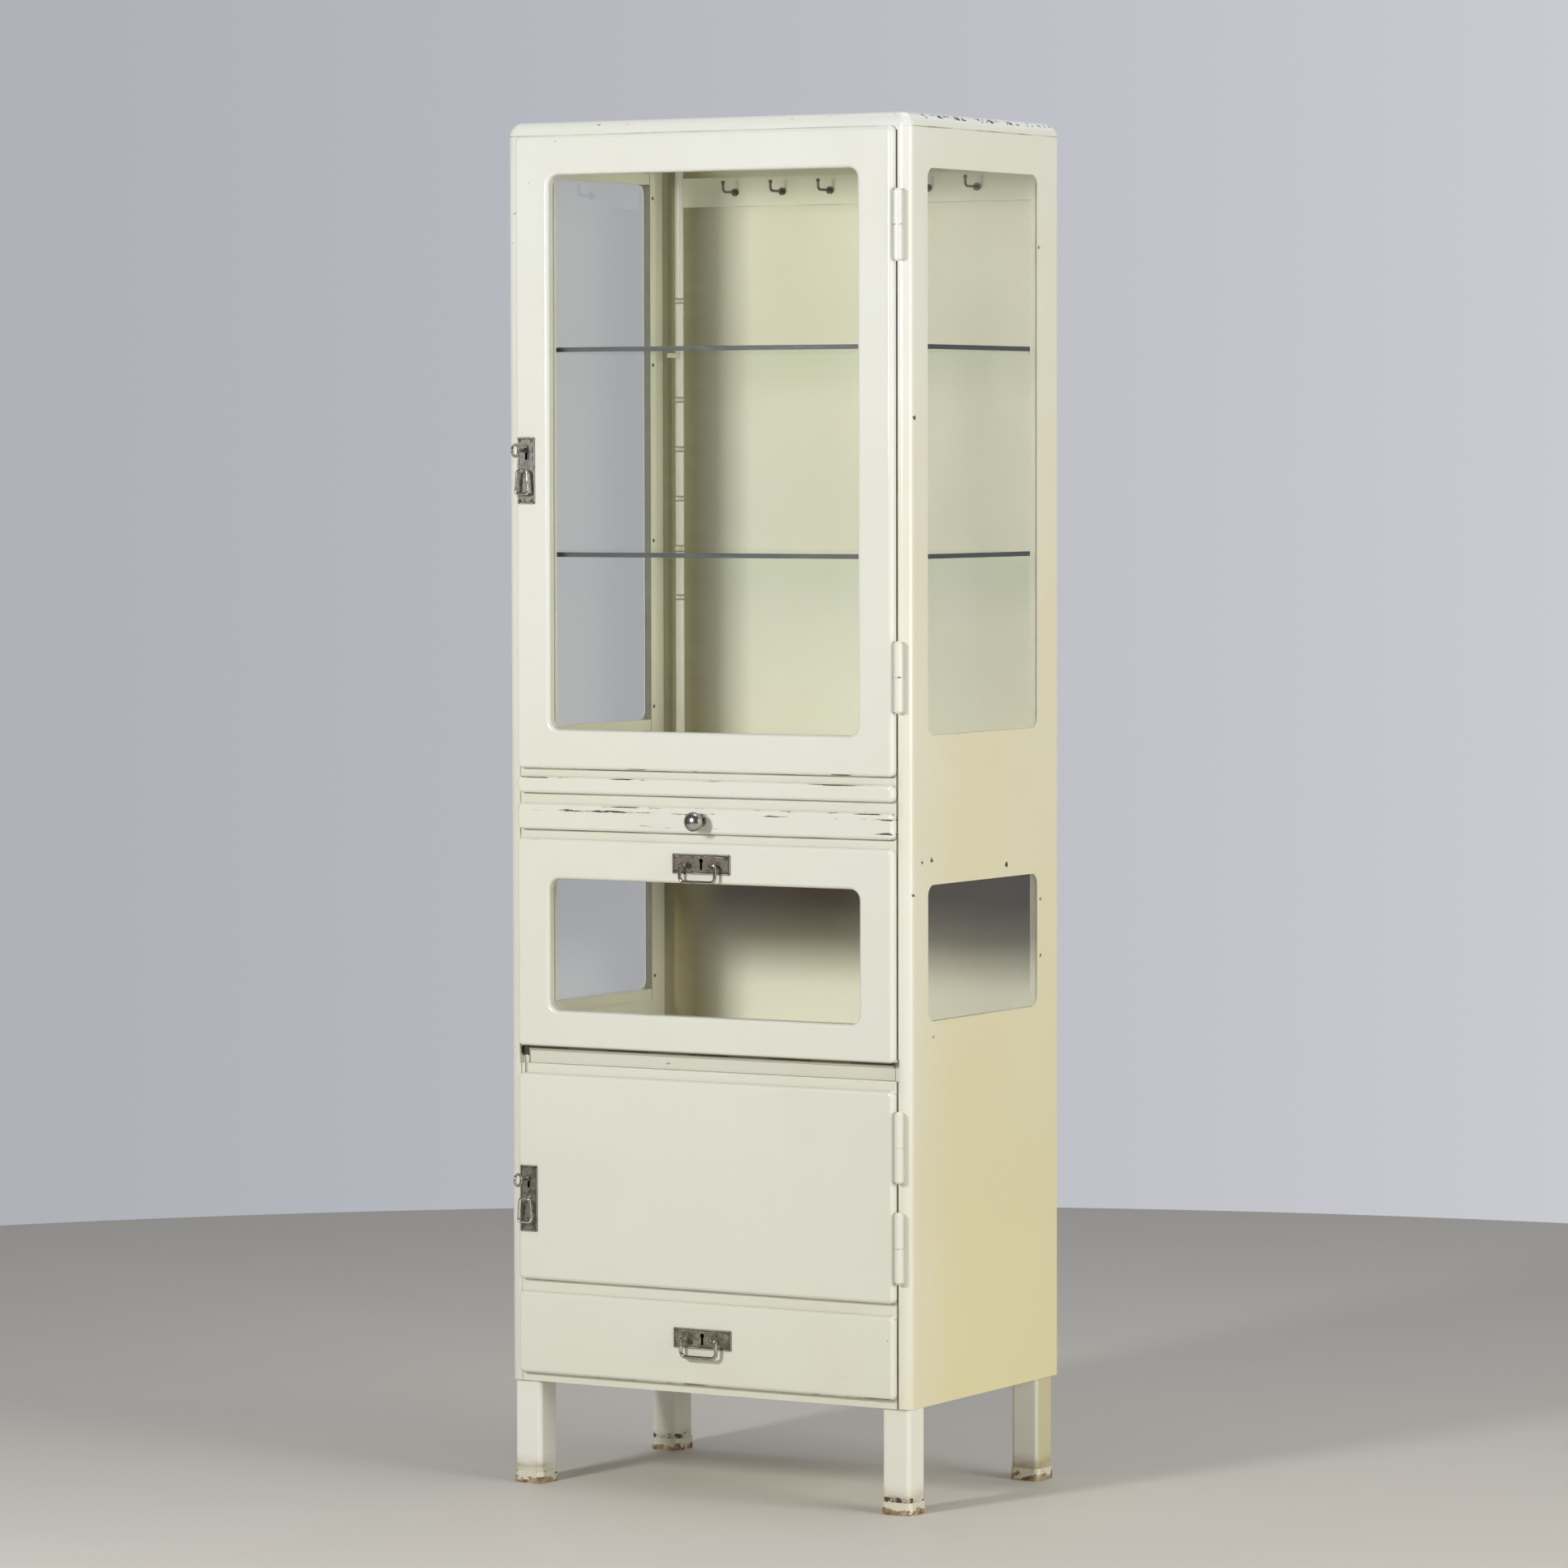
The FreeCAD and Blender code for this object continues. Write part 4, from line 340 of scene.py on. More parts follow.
# The recess is painted dark along its top under the flap's foot and at both ends: painted shade.
# Its chips are wear.
RECESS_FOOT, RECESS_MIDDLE, RECESS_TOP, RECESS_END = 0.5444, 0.5600, 0.5715, 0.2785
finish_node("rail_under_flap", enamel(
    "recess_enamel", IVORY, IVORY_LOW, ageing=0.6, amount=0.26, size=150.0,
    stretch=(0.2, 1.0, 1.0),
    bands=[(2, RECESS_FOOT, 0.0008, 0.0012), (2, RECESS_MIDDLE, 0.003, 0.004)],
    dirt_and_shade=[(2, RECESS_TOP, 0.002, 0.006), (0, RECESS_END, 0.001, 0.006),
           (0, -RECESS_END, 0.004, 0.008)],
    dirt_and_shade_even=True, dirt_and_shade_colour=(0.10, 0.09, 0.05)))

# Doors, flap and drawer fronts. Each is a shallow pan pressed from sheet with rolled edges, set
# proud of the carcass. Their enamel is whiter than the sides, and chipped where doors knock the
# rails and fingers pull the bars.


# Where each front's keyhole is, in x and z. Behind each keyhole the front is painted dark, as
# painted shade seen through the plate.
KEYHOLES = {"upper_door_frame": (-0.2605, 1.3313), "lower_door_panel": (-0.2605, 0.3968),
            "flap_frame": (0.0, 0.8130), "drawer_front": (0.0, 0.2099)}


def front_enamel(name, node, amount, size, stretch, ageing=0.25, sides=("top", "bottom"),
                 scratched=(), shaded_foot=()):
    low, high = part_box(node)
    places = {"top": (2, high.z - 0.0020), "bottom": (2, low.z + 0.0012),
              "left": (0, low.x + 0.001), "right": (0, high.x - 0.001)}
    bands = [(*places[side], 0.0006, 0.0011) for side in sides]
    bands += [(2, high.z - drop, 0.0006, 0.0060) for drop in scratched]
    keyholes = ()
    if node in KEYHOLES:
        x, z = KEYHOLES[node]
        keyholes = [(0, x, 0.005, 0.001, 2, z - 0.0045, 0.009, 0.001)]
    finish_node(node, enamel(
        name, IVORY, IVORY_LOW, ageing=ageing, specks=0.6, amount=amount, size=size,
        stretch=stretch, bands=bands, darkening=keyholes, painted_shade_colour=BARE_SHEET_AND_SHADE,
        dirt_and_shade_even=True, dirt_and_shade_colour=(0.17, 0.14, 0.07),
        dirt_and_shade=[(2, low.z + rise, 0.0006, 0.0012) for rise in shaded_foot]))


front_enamel("upper_door_enamel", "upper_door_frame", 0.27, 150.0, (0.12, 1.0, 1.0))
front_enamel("lower_door_enamel", "lower_door_panel", 0.25, 150.0, (0.12, 1.0, 1.0), ageing=0.4)
# Along the flap's foot a dark line is painted shade in the gap above the recess.
front_enamel("flap_enamel", "flap_frame", 0.22, 150.0, (0.2, 1.0, 1.0), sides=("top",),
             shaded_foot=(0.0002,))
front_enamel("drawer_enamel", "drawer_front", 0.25, 150.0, (0.12, 1.0, 1.0), ageing=0.4)
front_enamel("work_shelf_enamel", "pull_out_shelf", 0.36, 260.0, (0.08, 1.0, 1.0), sides=("top",))
front_enamel("tray_enamel", "tray", 0.34, 260.0, (0.08, 1.0, 1.0), sides=("top", "left"),
             scratched=(0.008, 0.026))
finish_node("drawer_box", inside_enamel)

# Panes, shelves and beads. Window glass 3 mm thick lies behind each opening, held by enamelled
# beads screwed from inside. The two shelves are 6 mm glass with ground edges, which read as dark
# green lines.


def glass(name, tint, edge_bands=()):
    material, tree, shader, spot = new_finish(name, IOR=1.46, Transmission_Weight=1.0)
    smear = noise(tree, stretched(tree, spot, (6.0, 6.0, 3.0)), 1.0, 3.0)
    rough = fade(tree, smear, 0.5, 0.8, 0.0, 0.035)
    dust = fade(tree, noise(tree, spot, 240.0, 2.0), 0.70, 0.76, 0.0, 0.10)
    colour = mix_colours(tree, dust, tint, (0.72, 0.74, 0.70))
    if edge_bands:
        edge = near(tree, spot, edge_bands)
        colour = mix_colours(tree, edge, colour, (0.0004, 0.0040, 0.0016))
        rough = fade(tree, edge, 0.0, 1.0, rough, 0.5)
        tree.links.new(fade(tree, edge, 0.0, 1.0, 0.5, 0.06), shader.inputs["Specular IOR Level"])
    tree.links.new(rough, shader.inputs["Roughness"])
    tree.links.new(colour, shader.inputs["Base Color"])
    clear = lay(tree, "BsdfTransparent", {"Color": (*[0.97 * t for t in tint], 1.0)}).outputs[0]
    rays = tree.nodes.new("ShaderNodeLightPath").outputs
    soft = reckon(tree, "MAXIMUM", rays["Is Shadow Ray"], rays["Is Diffuse Ray"])
    both = lay(tree, "MixShader", {0: soft, 1: shader.outputs[0], 2: clear})
    tree.links.new(both.outputs[0], tree.nodes["Material Output"].inputs["Surface"])
    return material


pane_glass = glass("pane_glass", (0.985, 0.992, 0.985))
for name in ("upper_door_glass", "flap_glass"):
    finish_node(name, pane_glass)
finish_node("side_window_panes", glass("side_glass", (0.885, 0.885, 0.875)))
shelf_low, shelf_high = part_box("glass_shelves")
EDGE = 0.0004
finish_node("glass_shelves", glass("shelf_glass", (0.93, 0.975, 0.95), [
    (0, shelf_low.x, EDGE, EDGE), (0, shelf_high.x, EDGE, EDGE),
    (1, shelf_low.y, EDGE, EDGE), (1, shelf_high.y, EDGE, EDGE)]))
bead_enamel = enamel(
    "bead_enamel", (0.76, 0.765, 0.63), (0.74, 0.73, 0.58), ageing=0.4, specks=1.0)
for name in ("upper_door_beads", "flap_beads"):
    finish_node(name, bead_enamel)
bead_low, bead_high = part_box("side_window_beads")
BEAD_WIDTH = 0.014
# The forward face of the left rear bead is painted dark grey-green: painted shade.
finish_node("side_window_beads", enamel(
    "side_bead_enamel", (0.90, 0.885, 0.72), (0.90, 0.885, 0.74), ageing=0.3, specks=1.0,
    dirt_and_shade=[(1, bead_high.y - BEAD_WIDTH, 0.0004, 0.0005, 0, bead_low.x, 0.02, 0.001)],
    dirt_and_shade_even=True, dirt_and_shade_colour=(0.17, 0.175, 0.12)))

# Hinges. Lift-off barrels are turned from rod, welded to door and carcass and enamelled over.
# The flap turns on a thin leaf hinge along its foot, enamelled too but rubbed at the knuckles.

BARREL_SPLITS = (1.6098, 1.0488, 0.4626, 0.3366)
barrel_enamel = enamel(
    "barrel_enamel", IVORY, IVORY_LOW, ageing=0.3, amount=0.3, size=260.0,
    bands=[(2, split, 0.001, 0.003) for split in BARREL_SPLITS])
for name in ("hinge_pins", "upper_door_knuckles", "lower_door_knuckles"):
    finish_node(name, barrel_enamel)
# Along the leaf's top, under the flap's foot, the darker band is painted shade; the chips are
# wear.
LEAF_FOOT, LEAF_MIDDLE, LEAF_TOP = 0.5450, 0.5530, 0.5690
leaf_enamel = enamel(
    "leaf_enamel", (0.76, 0.76, 0.67), (0.72, 0.71, 0.60), ageing=0.7, amount=0.27, size=150.0,
    stretch=(0.15, 1.0, 1.0),
    bands=[(2, LEAF_FOOT, 0.0008, 0.0010), (2, LEAF_MIDDLE, 0.0020, 0.0060)],
    dirt_and_shade=[(2, LEAF_TOP, 0.003, 0.006)], dirt_and_shade_even=True, dirt_and_shade_colour=(0.13, 0.115, 0.06))
for name in ("flap_hinge_fixed_leaf", "flap_hinge_moving_leaf"):
    finish_node(name, leaf_enamel)

# Uprights, shelf rests and hook rail. The uprights are notched rods on welded tongues, enamelled
# with the inside. The rests are bent steel brackets hung in the notches, and the rail is a strip.

LOWEST_NOTCH = 1.1333
NOTCH_PITCH = 0.0655
NOTCH_HEIGHT = 0.006
NOTCH_COUNT = 7
# The uprights are painted lighter than the inside enamel, as painted light; their tongues and the
# edges of each notch are painted darker, as painted shade.
upright_enamel = enamel(
    "upright_enamel", (0.93, 0.91, 0.80), (0.93, 0.91, 0.78), ageing=0.2, specks=0.5,
    dirt_and_shade=[(0, -0.2805, 0.0053, 0.0005), (0, 0.2805, 0.0053, 0.0005)]
    + [(2, LOWEST_NOTCH + NOTCH_PITCH * step + rise, 0.0004, 0.0008)
       for step in range(NOTCH_COUNT) for rise in (0.0, NOTCH_HEIGHT)],
    dirt_and_shade_colour=(0.27, 0.235, 0.10), dirt_and_shade_even=True)
finish_node("shelf_uprights", upright_enamel)
finish_node("shelf_rests", enamel(
    "rest_enamel", (0.90, 0.89, 0.78), (0.90, 0.88, 0.76), ageing=0.3, amount=0.25, size=220.0,
    bands=[(0, -0.2755, 0.006, 0.004), (0, 0.2755, 0.006, 0.004)]))
# The rail is painted lighter than the inside enamel, as painted light.
finish_node("hook_rail", enamel(
    "hook_rail_enamel", (0.95, 0.93, 0.73), INSIDE_IVORY, ageing=0.3, amount=0.25,
    size=150.0, stretch=(0.3, 1.0, 1.0), bands=[(2, 1.652, 0.0006, 0.001)],
    dirt_and_shade=[(2, 1.652, 0.0004, 0.0012)], dirt_and_shade_colour=(0.42, 0.38, 0.25)))

# Bright metal: the shared look of plated pieces, worn by hands and dulled in the hollows.
handled, want, give = shared_effect(
    "handled_metal",
    (("Vector", "Vector"), ("Bright", "Color"), ("Dull", "Color"), ("Dulling", "Float")),
    (("Color", "Color"), ("Roughness", "Float"), ("Height", "Float")))
tarnish = noise(handled, want["Vector"], 130.0, 4.0, 0.65)
pits = noise(handled, want["Vector"], 1300.0, 2.0)
film_share = reckon(handled, "MULTIPLY", fade(handled, tarnish, 0.38, 0.72), want["Dulling"])
handled.links.new(mix_colours(handled, film_share, want["Bright"], want["Dull"]), give["Color"])
handled.links.new(fade(handled, film_share, 0.0, 1.0, 0.10, 0.42), give["Roughness"])
handled.links.new(reckon(handled, "MULTIPLY_ADD", tarnish, 2.0, pits), give["Height"])


def metal(name, bright, dull, dulling, bump_strength=0.12, rim=1.0):
    material, tree, shader, spot = new_finish(name, Metallic=1.0)
    skin = use_effect(tree, handled, {
        "Vector": spot, "Bright": bright, "Dull": dull, "Dulling": dulling})
    # Towards the silhouette the colour darkens to the rim value: painted shade on rounded wires
    # and edges.
    facing = lay(tree, "LayerWeight", {"Blend": 0.5}).outputs["Facing"]
    shade = fade(tree, facing, 0.25, 0.75, 1.0, rim)
    colour = lay(tree, "VectorMath", {0: skin["Color"], "Scale": shade}, operation="SCALE")
    tree.links.new(colour.outputs[0], shader.inputs["Base Color"])
    tree.links.new(skin["Roughness"], shader.inputs["Roughness"])
    bump = lay(tree, "Bump", {
        "Height": skin["Height"], "Strength": bump_strength, "Distance": 0.0002})
    tree.links.new(bump.outputs[0], shader.inputs["Normal"])
    return material


# Hooks. Six bent wires with ball tips are screwed through the rail. Their plating has gone brown.

finish_node("hooks", metal("hook_metal", (0.22, 0.18, 0.12), (0.045, 0.03, 0.018), 1.0))

# Legs and feet. The legs are square tube, enamelled with the carcass. Pressed steel caps close
# their ends: the enamel has worn off these along the floor, where they have rusted.

leg_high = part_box("legs")[1]
# The rear legs' outer right faces are painted darker and yellower: painted shade.
REAR_LEG_SHADED_SIDE = (0, leg_high.x, 0.0008, 0.0015, 1, leg_high.y, 0.045, 0.005)
finish_node("legs", enamel(
    "leg_enamel", IVORY, (0.81, 0.80, 0.73), ageing=0.4, specks=1.4, amount=0.28, size=120.0,
    bands=[(2, 0.016, 0.004, 0.012)], dirt_and_shade=[(2, 0.016, 0.003, 0.020)],
    dirt_and_shade_colour=(0.34, 0.27, 0.14), darkening=[REAR_LEG_SHADED_SIDE], painted_shade_colour=(0.56, 0.51, 0.31)))
material, tree, shader, spot = new_finish("foot_cap_metal", Metallic=0.35)
blot = noise(tree, spot, 75.0, 4.0, 0.65)
colour = mix_colours(tree, fade(tree, blot, 0.38, 0.62), (0.50, 0.42, 0.26), (0.20, 0.12, 0.06))
patchy = noise(tree, stretched(tree, spot, (1.0, 1.0, 2.0)), 60.0, 4.0, 0.6)
rise = lay(tree, "SeparateXYZ", {0: spot}).outputs[2]
worn_film = reckon(tree, "ADD", patchy, fade(tree, rise, 0.001, 0.012, -0.16, 0.12))
colour = mix_colours(tree, fade(tree, worn_film, 0.46, 0.50), colour, (0.74, 0.71, 0.58))
tree.links.new(colour, shader.inputs["Base Color"])
tree.links.new(fade(tree, blot, 0.3, 0.7, 0.42, 0.75), shader.inputs["Roughness"])
bump = lay(tree, "Bump", {"Height": blot, "Strength": 0.35, "Distance": 0.0006})
tree.links.new(bump.outputs[0], shader.inputs["Normal"])
finish_node("foot_caps", material)

# Lock plates. Rolled brass plates, once nickelled, now a dark grey brown with a bevelled border,
# each held by four slotted screws in its corners.

PLATE_BORDER = 0.0012
GROOVE_INSET = 0.0024


def plate_metal(name, node, dark, worn_colour, dulling=1.0):
    low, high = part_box(node)
    material, tree, shader, spot = new_finish(name, Metallic=0.75)
    edges = ((0, low.x, 1), (0, high.x, -1), (2, low.z, 1), (2, high.z, -1))
    border = near(tree, spot, [(axis, edge, PLATE_BORDER, 0.0005) for axis, edge, _ in edges])
    groove = near(tree, spot, [
        (axis, edge + inward * GROOVE_INSET, 0.0003, 0.0004) for axis, edge, inward in edges])
    blotch = fade(tree, noise(tree, spot, 120.0, 4.0, 0.6), 0.40, 0.60, 0.0, dulling)
    colour = mix_colours(tree, blotch, worn_colour, dark)
    colour = mix_colours(tree, reckon(tree, "MULTIPLY", border, 0.6), colour, (0.52, 0.50, 0.44))
    colour = mix_colours(tree, reckon(tree, "MULTIPLY", groove, 0.8), colour, (0.02, 0.017, 0.014))
    side_faces = near(tree, spot, [(1, high.y, 0.0010, 0.0001)])
    colour = mix_colours(tree, side_faces, colour, (0.012, 0.010, 0.008))
    tree.links.new(colour, shader.inputs["Base Color"])
    tree.links.new(fade(tree, blotch, 0.0, 1.0, 0.26, 0.55), shader.inputs["Roughness"])
    grain = noise(tree, spot, 700.0, 2.0)
    lie = reckon(tree, "MULTIPLY_ADD", groove, -4.0, grain)
    bump = lay(tree, "Bump", {"Height": lie, "Strength": 0.35, "Distance": 0.0002})
    tree.links.new(bump.outputs[0], shader.inputs["Normal"])
    return material


finish_node("upper_lock_plate", plate_metal(
    "upper_plate_metal", "upper_lock_plate", (0.19, 0.19, 0.165), (0.46, 0.46, 0.41)))
finish_node("lower_lock_plate", plate_metal(
    "lower_plate_metal", "lower_lock_plate", (0.13, 0.125, 0.095), (0.37, 0.36, 0.29)))
finish_node("flap_lock_plate", plate_metal(
    "flap_plate_metal", "flap_lock_plate", (0.12, 0.105, 0.080), (0.35, 0.32, 0.25)))
finish_node("drawer_lock_plate", plate_metal(
    "drawer_plate_metal", "drawer_lock_plate", (0.15, 0.138, 0.100), (0.38, 0.35, 0.265)))

screw_metal = metal("screw_metal", (0.34, 0.33, 0.30), (0.13, 0.11, 0.08), 0.8)
SCREW_INSET = 0.0045
SLOT_SHARE = 0.17
PLATE_FACE_Y = -0.1811


def edit_faces(piece, chosen):
    """Selects the faces that pass, in edit mode, and nothing else."""
    bpy.ops.mesh.select_mode(type="FACE")
    bpy.ops.mesh.select_all(action="DESELECT")
    mesh = bmesh.from_edit_mesh(piece.data)
    for face in mesh.faces:
        face.select_set(chosen(face))
    bmesh.update_edit_mesh(piece.data)


def slotted_screw(name, radius, rise):
    """A screw head that faces -Y, with its foot on y = 0."""
    bpy.ops.object.select_all(action="DESELECT")
    bpy.ops.mesh.primitive_cylinder_add(
        vertices=20, radius=radius, depth=rise, location=(0, -rise / 2, 0),
        rotation=(math.pi / 2, 0, 0))
    bpy.ops.object.transform_apply(location=True, rotation=True, scale=True)
    piece = bpy.context.object
    piece.name = name
    bpy.ops.object.mode_set(mode="EDIT")
    edit_faces(piece, lambda face: face.normal.y < -0.9)
    bpy.ops.mesh.bevel(offset=rise * 0.6, segments=3, affect="EDGES")
    for side in (-1, 1):
        bpy.ops.mesh.select_all(action="SELECT")
        bpy.ops.mesh.bisect(plane_co=(side * radius * SLOT_SHARE, 0, 0), plane_no=(1, 0, 0))
    edit_faces(piece, lambda face: face.normal.y < -0.9
               and abs(face.calc_center_median().x) < radius * SLOT_SHARE)
    bpy.ops.mesh.extrude_region_move(TRANSFORM_OT_translate={"value": (0, rise * 0.6, 0)})
    bpy.ops.mesh.select_all(action="SELECT")
    bpy.ops.mesh.normals_make_consistent(inside=False)
    bpy.ops.object.mode_set(mode="OBJECT")
    bpy.ops.object.shade_smooth_by_angle(angle=math.radians(40))
    piece.data.materials.append(screw_metal)
    return piece


def set_copy(piece, name, place, turned, body, facing=0.0):
    """A copy with its own mesh, turned in its seat, faced its way and moved to its place."""
    copy = piece.copy()
    copy.data = piece.data.copy()
    copy.name = name
    bpy.context.scene.collection.objects.link(copy)
    copy.data.transform(Matrix.Translation(place) @ Matrix.Rotation(facing, 4, "Z")
                        @ Matrix.Rotation(turned, 4, "Y"))
    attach(copy, body)
    return copy


plate_screw = slotted_screw("plate_screw", radius=0.0017, rise=0.0006)
for node, body in (("upper_lock_plate", "upper_door"), ("lower_lock_plate", "lower_door"),
                   ("flap_lock_plate", "flap"), ("drawer_lock_plate", "drawer")):
    low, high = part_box(node)
    low_x, high_x = low.x + SCREW_INSET, high.x - SCREW_INSET
    low_z, high_z = low.z + SCREW_INSET, high.z - SCREW_INSET
    for count, (x, z) in enumerate(
            ((low_x, low_z), (low_x, high_z), (high_x, low_z), (high_x, high_z))):
        set_copy(plate_screw, f"{node}_screw_{count + 1}", (x, PLATE_FACE_Y, z),
                 0.7 + 1.3 * count, body)
bpy.data.objects.remove(plate_screw)

# Bead screws. Small slotted screws hold the glazing beads from the inside. Their plating is dull.

bead_screw = slotted_screw("bead_screw", radius=0.0023, rise=0.0008)
HALF_BEAD = BEAD_WIDTH / 2
for node, body, rows in (("upper_door_beads", "upper_door", (0.25, 0.5, 0.75)),
                         ("flap_beads", "flap", (0.5,))):
    low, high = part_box(node)
    places = [(x, low.z + (high.z - low.z) * row)
              for x in (low.x + HALF_BEAD, high.x - HALF_BEAD) for row in rows]
    places += [(low.x + (high.x - low.x) * share, z)
               for z in (low.z + HALF_BEAD, high.z - HALF_BEAD) for share in (0.2, 0.8)]
    for count, (x, z) in enumerate(places):
        set_copy(bead_screw, f"{node}_screw_{count + 1}", (x, high.y, z), 1.1 * count, body,
                 math.pi)
BEAD_DEPTH = 0.011
SIDE_ROWS = (0.992, 1.212, 1.444, 1.664, 0.634, 0.770)
for side, flank, facing in ((-1, "left", math.pi / 2), (1, "right", -math.pi / 2)):
    x = side * (bead_high.x - BEAD_DEPTH)
    for count, z in enumerate(SIDE_ROWS):
        for end, y in (("front", bead_low.y + HALF_BEAD), ("rear", bead_high.y - HALF_BEAD)):
            set_copy(bead_screw, f"{flank}_{end}_bead_screw_{count + 1}", (x, y, z),
                     0.9 * count + y * 20.0, "carcass", facing)
bpy.data.objects.remove(bead_screw)

# Drop rings, bails, keys and the tray's knob. Bent from rod or turned, nickelled, and kept bright
# by use. The keys are old ones with a wire bow.

nickel = metal("ring_nickel", (0.88, 0.87, 0.80), (0.34, 0.31, 0.25), 0.5, rim=0.12)
for name in ("upper_drop_ring", "lower_drop_ring"):
    finish_node(name, nickel)
bail_metal = metal("bail_metal", (0.66, 0.62, 0.51), (0.17, 0.145, 0.10), 0.8, rim=0.08)
for name in ("flap_bail", "drawer_bail"):
    finish_node(name, bail_metal)
finish_node("tray_knob", metal(
    "knob_nickel", (0.58, 0.58, 0.54), (0.40, 0.39, 0.35), 0.7, rim=0.35))
key_metal = metal("key_nickel", (0.66, 0.64, 0.57), (0.24, 0.21, 0.17), 0.7, rim=0.2)
for name in ("upper_key", "lower_key"):
    finish_node(name, key_metal)

# Locks. Plain steel cases with a sliding bolt, riveted behind the fronts and left bare.

lock_steel = metal("lock_steel", (0.40, 0.40, 0.38), (0.20, 0.16, 0.11), 0.8)
for name in ("upper_lock_case", "lower_lock_case", "flap_lock_case", "drawer_lock_case",
             "upper_lock_bolt", "lower_lock_bolt", "flap_lock_bolt", "drawer_lock_bolt"):
    finish_node(name, lock_steel)

# Runners. Angle strips welded inside the carcass, on which shelf, tray and drawer slide. Their
# top faces are rubbed bare.

runner_enamel = enamel(
    "runner_enamel", (0.76, 0.75, 0.60), (0.74, 0.72, 0.56), ageing=0.6, amount=0.30, size=90.0,
    stretch=(1.0, 0.2, 1.0), bands=[(0, 0.262, 0.006, 0.004), (0, -0.262, 0.006, 0.004)])
finish_node("slide_runners", runner_enamel)

# The studio: a pale round floor with a pale wall behind, soft light from the front, a warmer one
# from the right, and a weak one from above.

FLOOR_RADIUS = 3.25
WALL_HEIGHT = 6.0
bpy.ops.object.select_all(action="DESELECT")
bpy.ops.mesh.primitive_circle_add(vertices=160, radius=FLOOR_RADIUS, fill_type="NGON")
studio_floor = bpy.context.object
studio_floor.name = "studio_floor"
material, tree, shader, spot = new_finish("floor_paint")
mottle = noise(tree, spot, 3.0, 3.0)
tree.links.new(
    mix_colours(tree, mottle, (0.60, 0.575, 0.53), (0.64, 0.61, 0.56)),
    shader.inputs["Base Color"])
shader.inputs["Roughness"].default_value = 0.6
studio_floor.data.materials.append(material)

bpy.ops.object.select_all(action="DESELECT")
bpy.ops.mesh.primitive_cylinder_add(
    vertices=160, radius=FLOOR_RADIUS, depth=WALL_HEIGHT, end_fill_type="NOTHING",
    location=(0, 0, WALL_HEIGHT / 2))
bpy.ops.object.transform_apply(location=True, rotation=True, scale=True)
studio_wall = bpy.context.object
studio_wall.name = "studio_wall"
bpy.ops.object.mode_set(mode="EDIT")
bpy.ops.mesh.select_all(action="SELECT")
bpy.ops.mesh.flip_normals()
bpy.ops.object.mode_set(mode="OBJECT")
bpy.ops.object.shade_smooth()
# The wall glows as a backdrop: painted darker on the left and lighter on the right as painted
# light, and dark to reflections at the front and right as a painted reflection.
material, tree, shader, spot = new_finish("backdrop_glow")
axes = lay(tree, "SeparateXYZ", {0: spot}).outputs
across = fade(tree, axes[0], -2.6, 0.4)
wall_colour = mix_colours(tree, across, (0.430, 0.440, 0.482), (0.640, 0.645, 0.690))
rays = tree.nodes.new("ShaderNodeLightPath").outputs
unlit = reckon(tree, "MAXIMUM", fade(tree, axes[0], 0.4, 1.4), fade(tree, axes[1], 0.4, -0.8))
seen_plainly = reckon(tree, "MAXIMUM", rays["Is Camera Ray"], rays["Is Transmission Ray"])
unlit = reckon(tree, "MULTIPLY", unlit, reckon(tree, "SUBTRACT", 1.0, seen_plainly))
wall_colour = mix_colours(tree, unlit, wall_colour, (0.12, 0.12, 0.12))
glow = lay(tree, "Emission", {"Color": wall_colour, "Strength": 1.0}).outputs[0]
gone = lay(tree, "BsdfTransparent").outputs[0]
seen = reckon(tree, "MAXIMUM", rays["Is Camera Ray"], rays["Is Glossy Ray"])
seen = reckon(tree, "MAXIMUM", seen, rays["Is Transmission Ray"])
back = tree.nodes.new("ShaderNodeNewGeometry").outputs["Backfacing"]
shown = reckon(tree, "MULTIPLY", seen, reckon(tree, "SUBTRACT", 1.0, back))
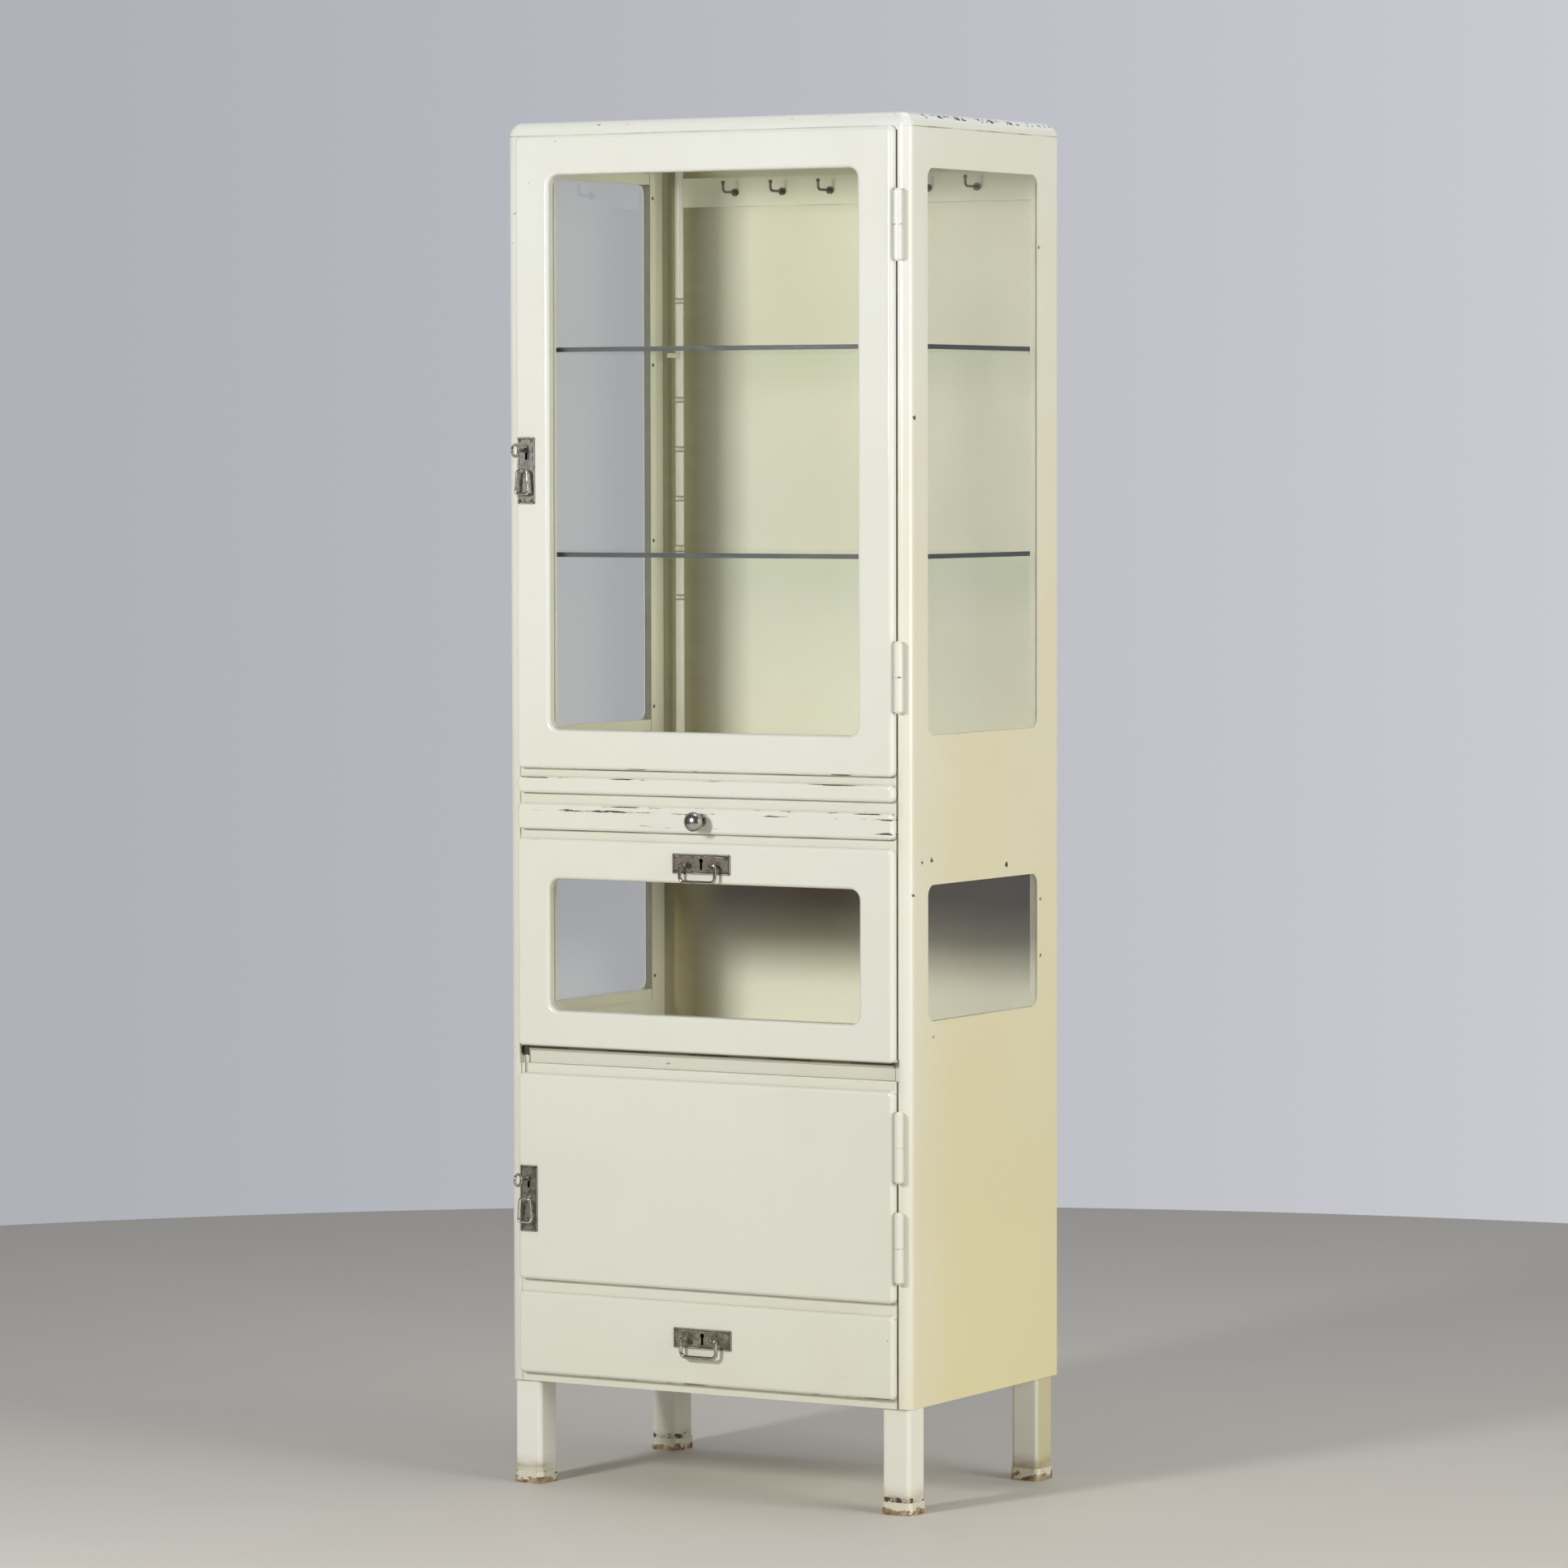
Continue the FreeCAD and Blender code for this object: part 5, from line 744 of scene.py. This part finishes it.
both = lay(tree, "MixShader", {0: shown, 1: gone, 2: glow})
tree.links.new(both.outputs[0], tree.nodes["Material Output"].inputs["Surface"])
studio_wall.data.materials.append(material)


def soft_lamp(name, place, aim, size, watts, colour):
    light = bpy.data.lights.new(name, "AREA")
    light.shape = "RECTANGLE"
    light.size, light.size_y = size
    light.energy = watts
    light.color = colour
    lamp = bpy.data.objects.new(name, light)
    bpy.context.scene.collection.objects.link(lamp)
    lamp.location = place
    lamp.rotation_euler = (Vector(aim) - Vector(place)).to_track_quat("-Z", "Y").to_euler()
    return lamp


soft_lamp("front_lamp", (-0.55, -3.2, 1.75), (0, 0, 1.0), (0.42, 0.52), 66.0, (1.0, 0.99, 0.97))
soft_lamp("right_lamp", (4.2, -0.6, 1.5), (0, 0, 1.0), (2.0, 2.2), 113.0, (1.0, 0.975, 0.93))
soft_lamp("upper_lamp", (0.3, 0.4, 4.0), (0, 0, 0), (2.4, 2.4), 30.0, (1.0, 1.0, 1.0))

world = bpy.data.worlds.new("studio_world")
bpy.context.scene.world = world
world.use_nodes = True
world.node_tree.nodes["Background"].inputs["Color"].default_value = (0.93, 0.96, 1.0, 1.0)
world.node_tree.nodes["Background"].inputs["Strength"].default_value = 0.25
bpy.context.scene.view_settings.view_transform = "Standard"

# The photo's camera, fitted to the cabinet's corners. Angles are in degrees.
CAMERA_PLACE = (4.4801, -7.5566, 1.3265)
CAMERA_TURN, CAMERA_DIP, CAMERA_ROLL = 30.578, 2.763, -0.105
LENS = 157.08
camera_data = bpy.data.cameras.new("photo_camera")
camera_data.sensor_width = 36.0
camera_data.lens = LENS
camera = bpy.data.objects.new("photo_camera", camera_data)
bpy.context.scene.collection.objects.link(camera)
camera.matrix_world = (
    Matrix.Translation(CAMERA_PLACE)
    @ Matrix.Rotation(math.radians(CAMERA_TURN), 4, "Z")
    @ Matrix.Rotation(math.radians(90.0 - CAMERA_DIP), 4, "X")
    @ Matrix.Rotation(math.radians(CAMERA_ROLL), 4, "Z"))
bpy.context.scene.camera = camera
